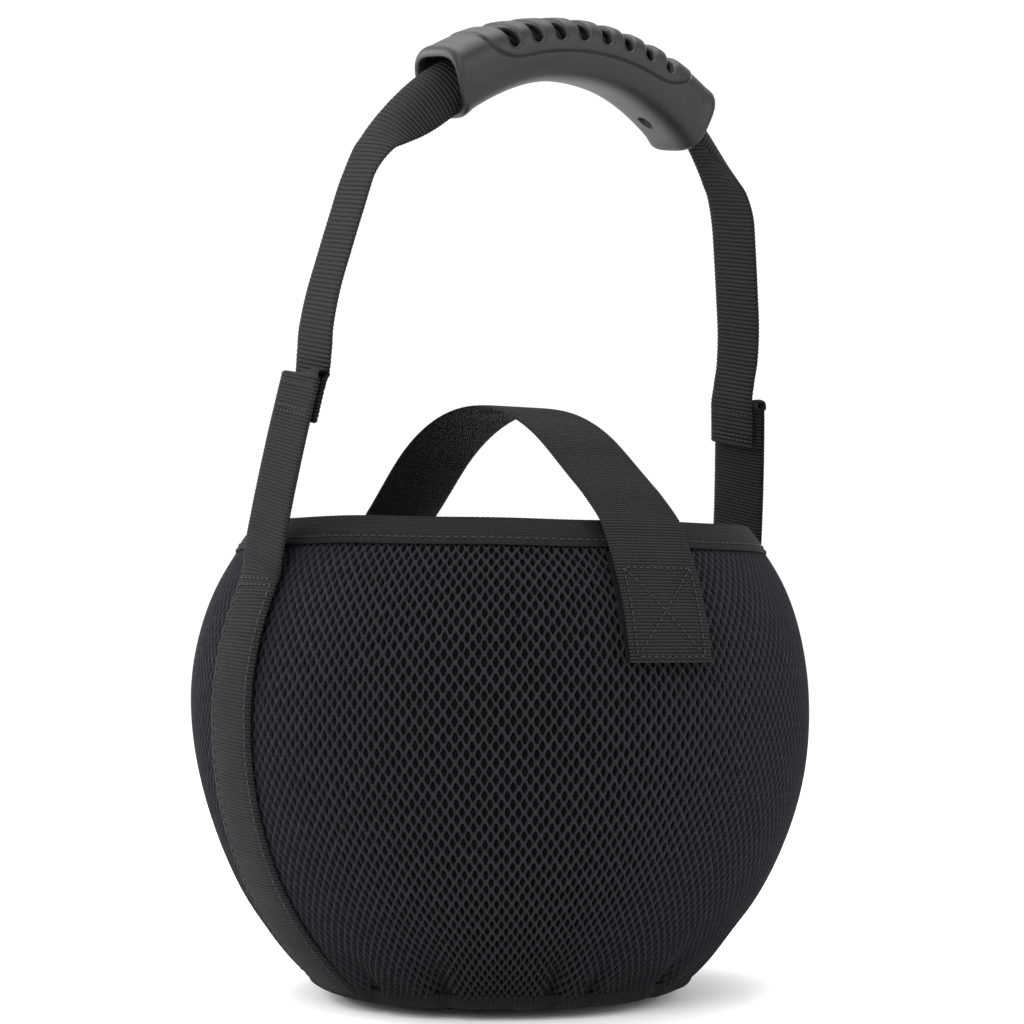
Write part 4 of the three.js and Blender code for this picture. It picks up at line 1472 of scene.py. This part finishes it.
def patch(name, node, body, bottom, top, offset, thickness, nap):
    """A soft-faced patch on the front, nap being the height of its loops or hooks."""
    columns, rows = 110, 100
    heights = np.linspace(bottom, top, rows)[:, None]
    x = np.linspace(-PATCH_WIDTH / 2, PATCH_WIDTH / 2, columns)[None, :]
    middle = -math.pi / 2 - CLOSING_SLANT
    near_edge = np.minimum(
        np.minimum(heights - bottom, top - heights), PATCH_WIDTH / 2 - np.abs(x)
    )
    edge = smoothstep(0.0, 1.6, near_edge)
    fuzz = RNG.random((rows, columns)) * nap
    outer = offset + thickness * (0.55 + 0.45 * edge) + fuzz * edge
    sheets = []
    for level in (outer, np.full_like(outer, offset)):
        radius, height = profile(np.broadcast_to(heights, level.shape), level)
        theta = middle + x / radius
        sheets.append(np.stack([radius * np.cos(theta), radius * np.sin(theta), height], axis=-1))
    sections = np.concatenate([sheets[0], sheets[1][:, ::-1]], axis=1)
    piece = sweep(name, sections, PATCH)
    attach(piece, body, "hook_and_loop", node)


patch("loop_patch_nap", "loop_patch", "pouch", 124.0, 161.0, 0.2, 0.9, 0.35)
patch("hook_patch_nap", "hook_patch", "tab", 127.0, 157.0, 1.9, 1.0, 0.25)


def rim_stitching():
    """A row of thread near the lower edge of the rim tape, outside and inside the pouch."""
    outside = (RIM_TAPE_STAND, RIM_STITCH_DROP, 1.0)
    inside = (-(WALL_THICKNESS + RIM_TAPE_STAND + 0.1), RIM_STITCH_DROP - 0.2, -1.0)
    for word, start in (("front", math.pi), ("back", 0.0)):
        theta = start + math.pi * np.linspace(0.012, 0.988, 900)
        runs = []
        for offset, drop, direction in (outside, inside):
            height = np.full_like(theta, RIM_HEIGHT - drop)
            radius, level = profile(height, offset + softness(theta, height))
            level = level + rim_wave(theta) - rim_dip(theta, height)
            row = np.stack([radius * np.cos(theta), radius * np.sin(theta), level], axis=-1)
            normal = direction * np.stack([
                0.75 * np.cos(theta), 0.75 * np.sin(theta), np.full_like(theta, 0.6),
            ], axis=-1)
            runs.append((row, unit(normal)))
        stitches(f"rim_stitching_{word}", "pouch", runs, length=2.2, gap=0.8, radius=0.24)


rim_stitching()


# ---- floor and light ----

def floor():
    """A plain pale floor."""
    nodes = Nodes("floor")
    material = nodes.finish((0.97, 0.97, 0.975, 1), 0.6, specular=0.1)
    size = 6000.0
    corners = [(-size, -size, 0), (size, -size, 0), (size, size, 0), (-size, size, 0)]
    plane = make_piece("floor", corners, [(0, 1, 2, 3)], material, smooth=False)


def area_light(name, place, target, size, power):
    """A soft rectangular light aimed at a point."""
    data = bpy.data.lights.new(name, "AREA")
    data.shape = "RECTANGLE"
    data.size, data.size_y = size
    data.energy = power
    lamp = bpy.data.objects.new(name, data)
    bpy.context.scene.collection.objects.link(lamp)
    lamp.location = place
    aim = Vector(target) - Vector(place)
    lamp.rotation_euler = aim.to_track_quat("-Z", "Y").to_euler()


def studio():
    """An even white surround with four soft lights."""
    world = bpy.data.worlds.new("studio")
    world.use_nodes = True
    world.node_tree.nodes["Background"].inputs["Color"].default_value = (1, 1, 1, 1)
    world.node_tree.nodes["Background"].inputs["Strength"].default_value = 1.06
    bpy.context.scene.world = world
    bpy.context.scene.view_settings.view_transform = "Standard"
    middle = (0, 0, 0.15)
    area_light("overhead", (-0.1, 0.1, 1.6), middle, (1.4, 1.4), 26)
    area_light("front_left", (-1.2, -0.9, 0.9), middle, (0.9, 1.1), 22)
    area_light("front_right", (0.6, -1.5, 0.7), middle, (0.8, 1.1), 14)
    area_light("back_left", (-0.9, 1.1, 0.8), middle, (0.8, 0.8), 16)


floor()
studio()
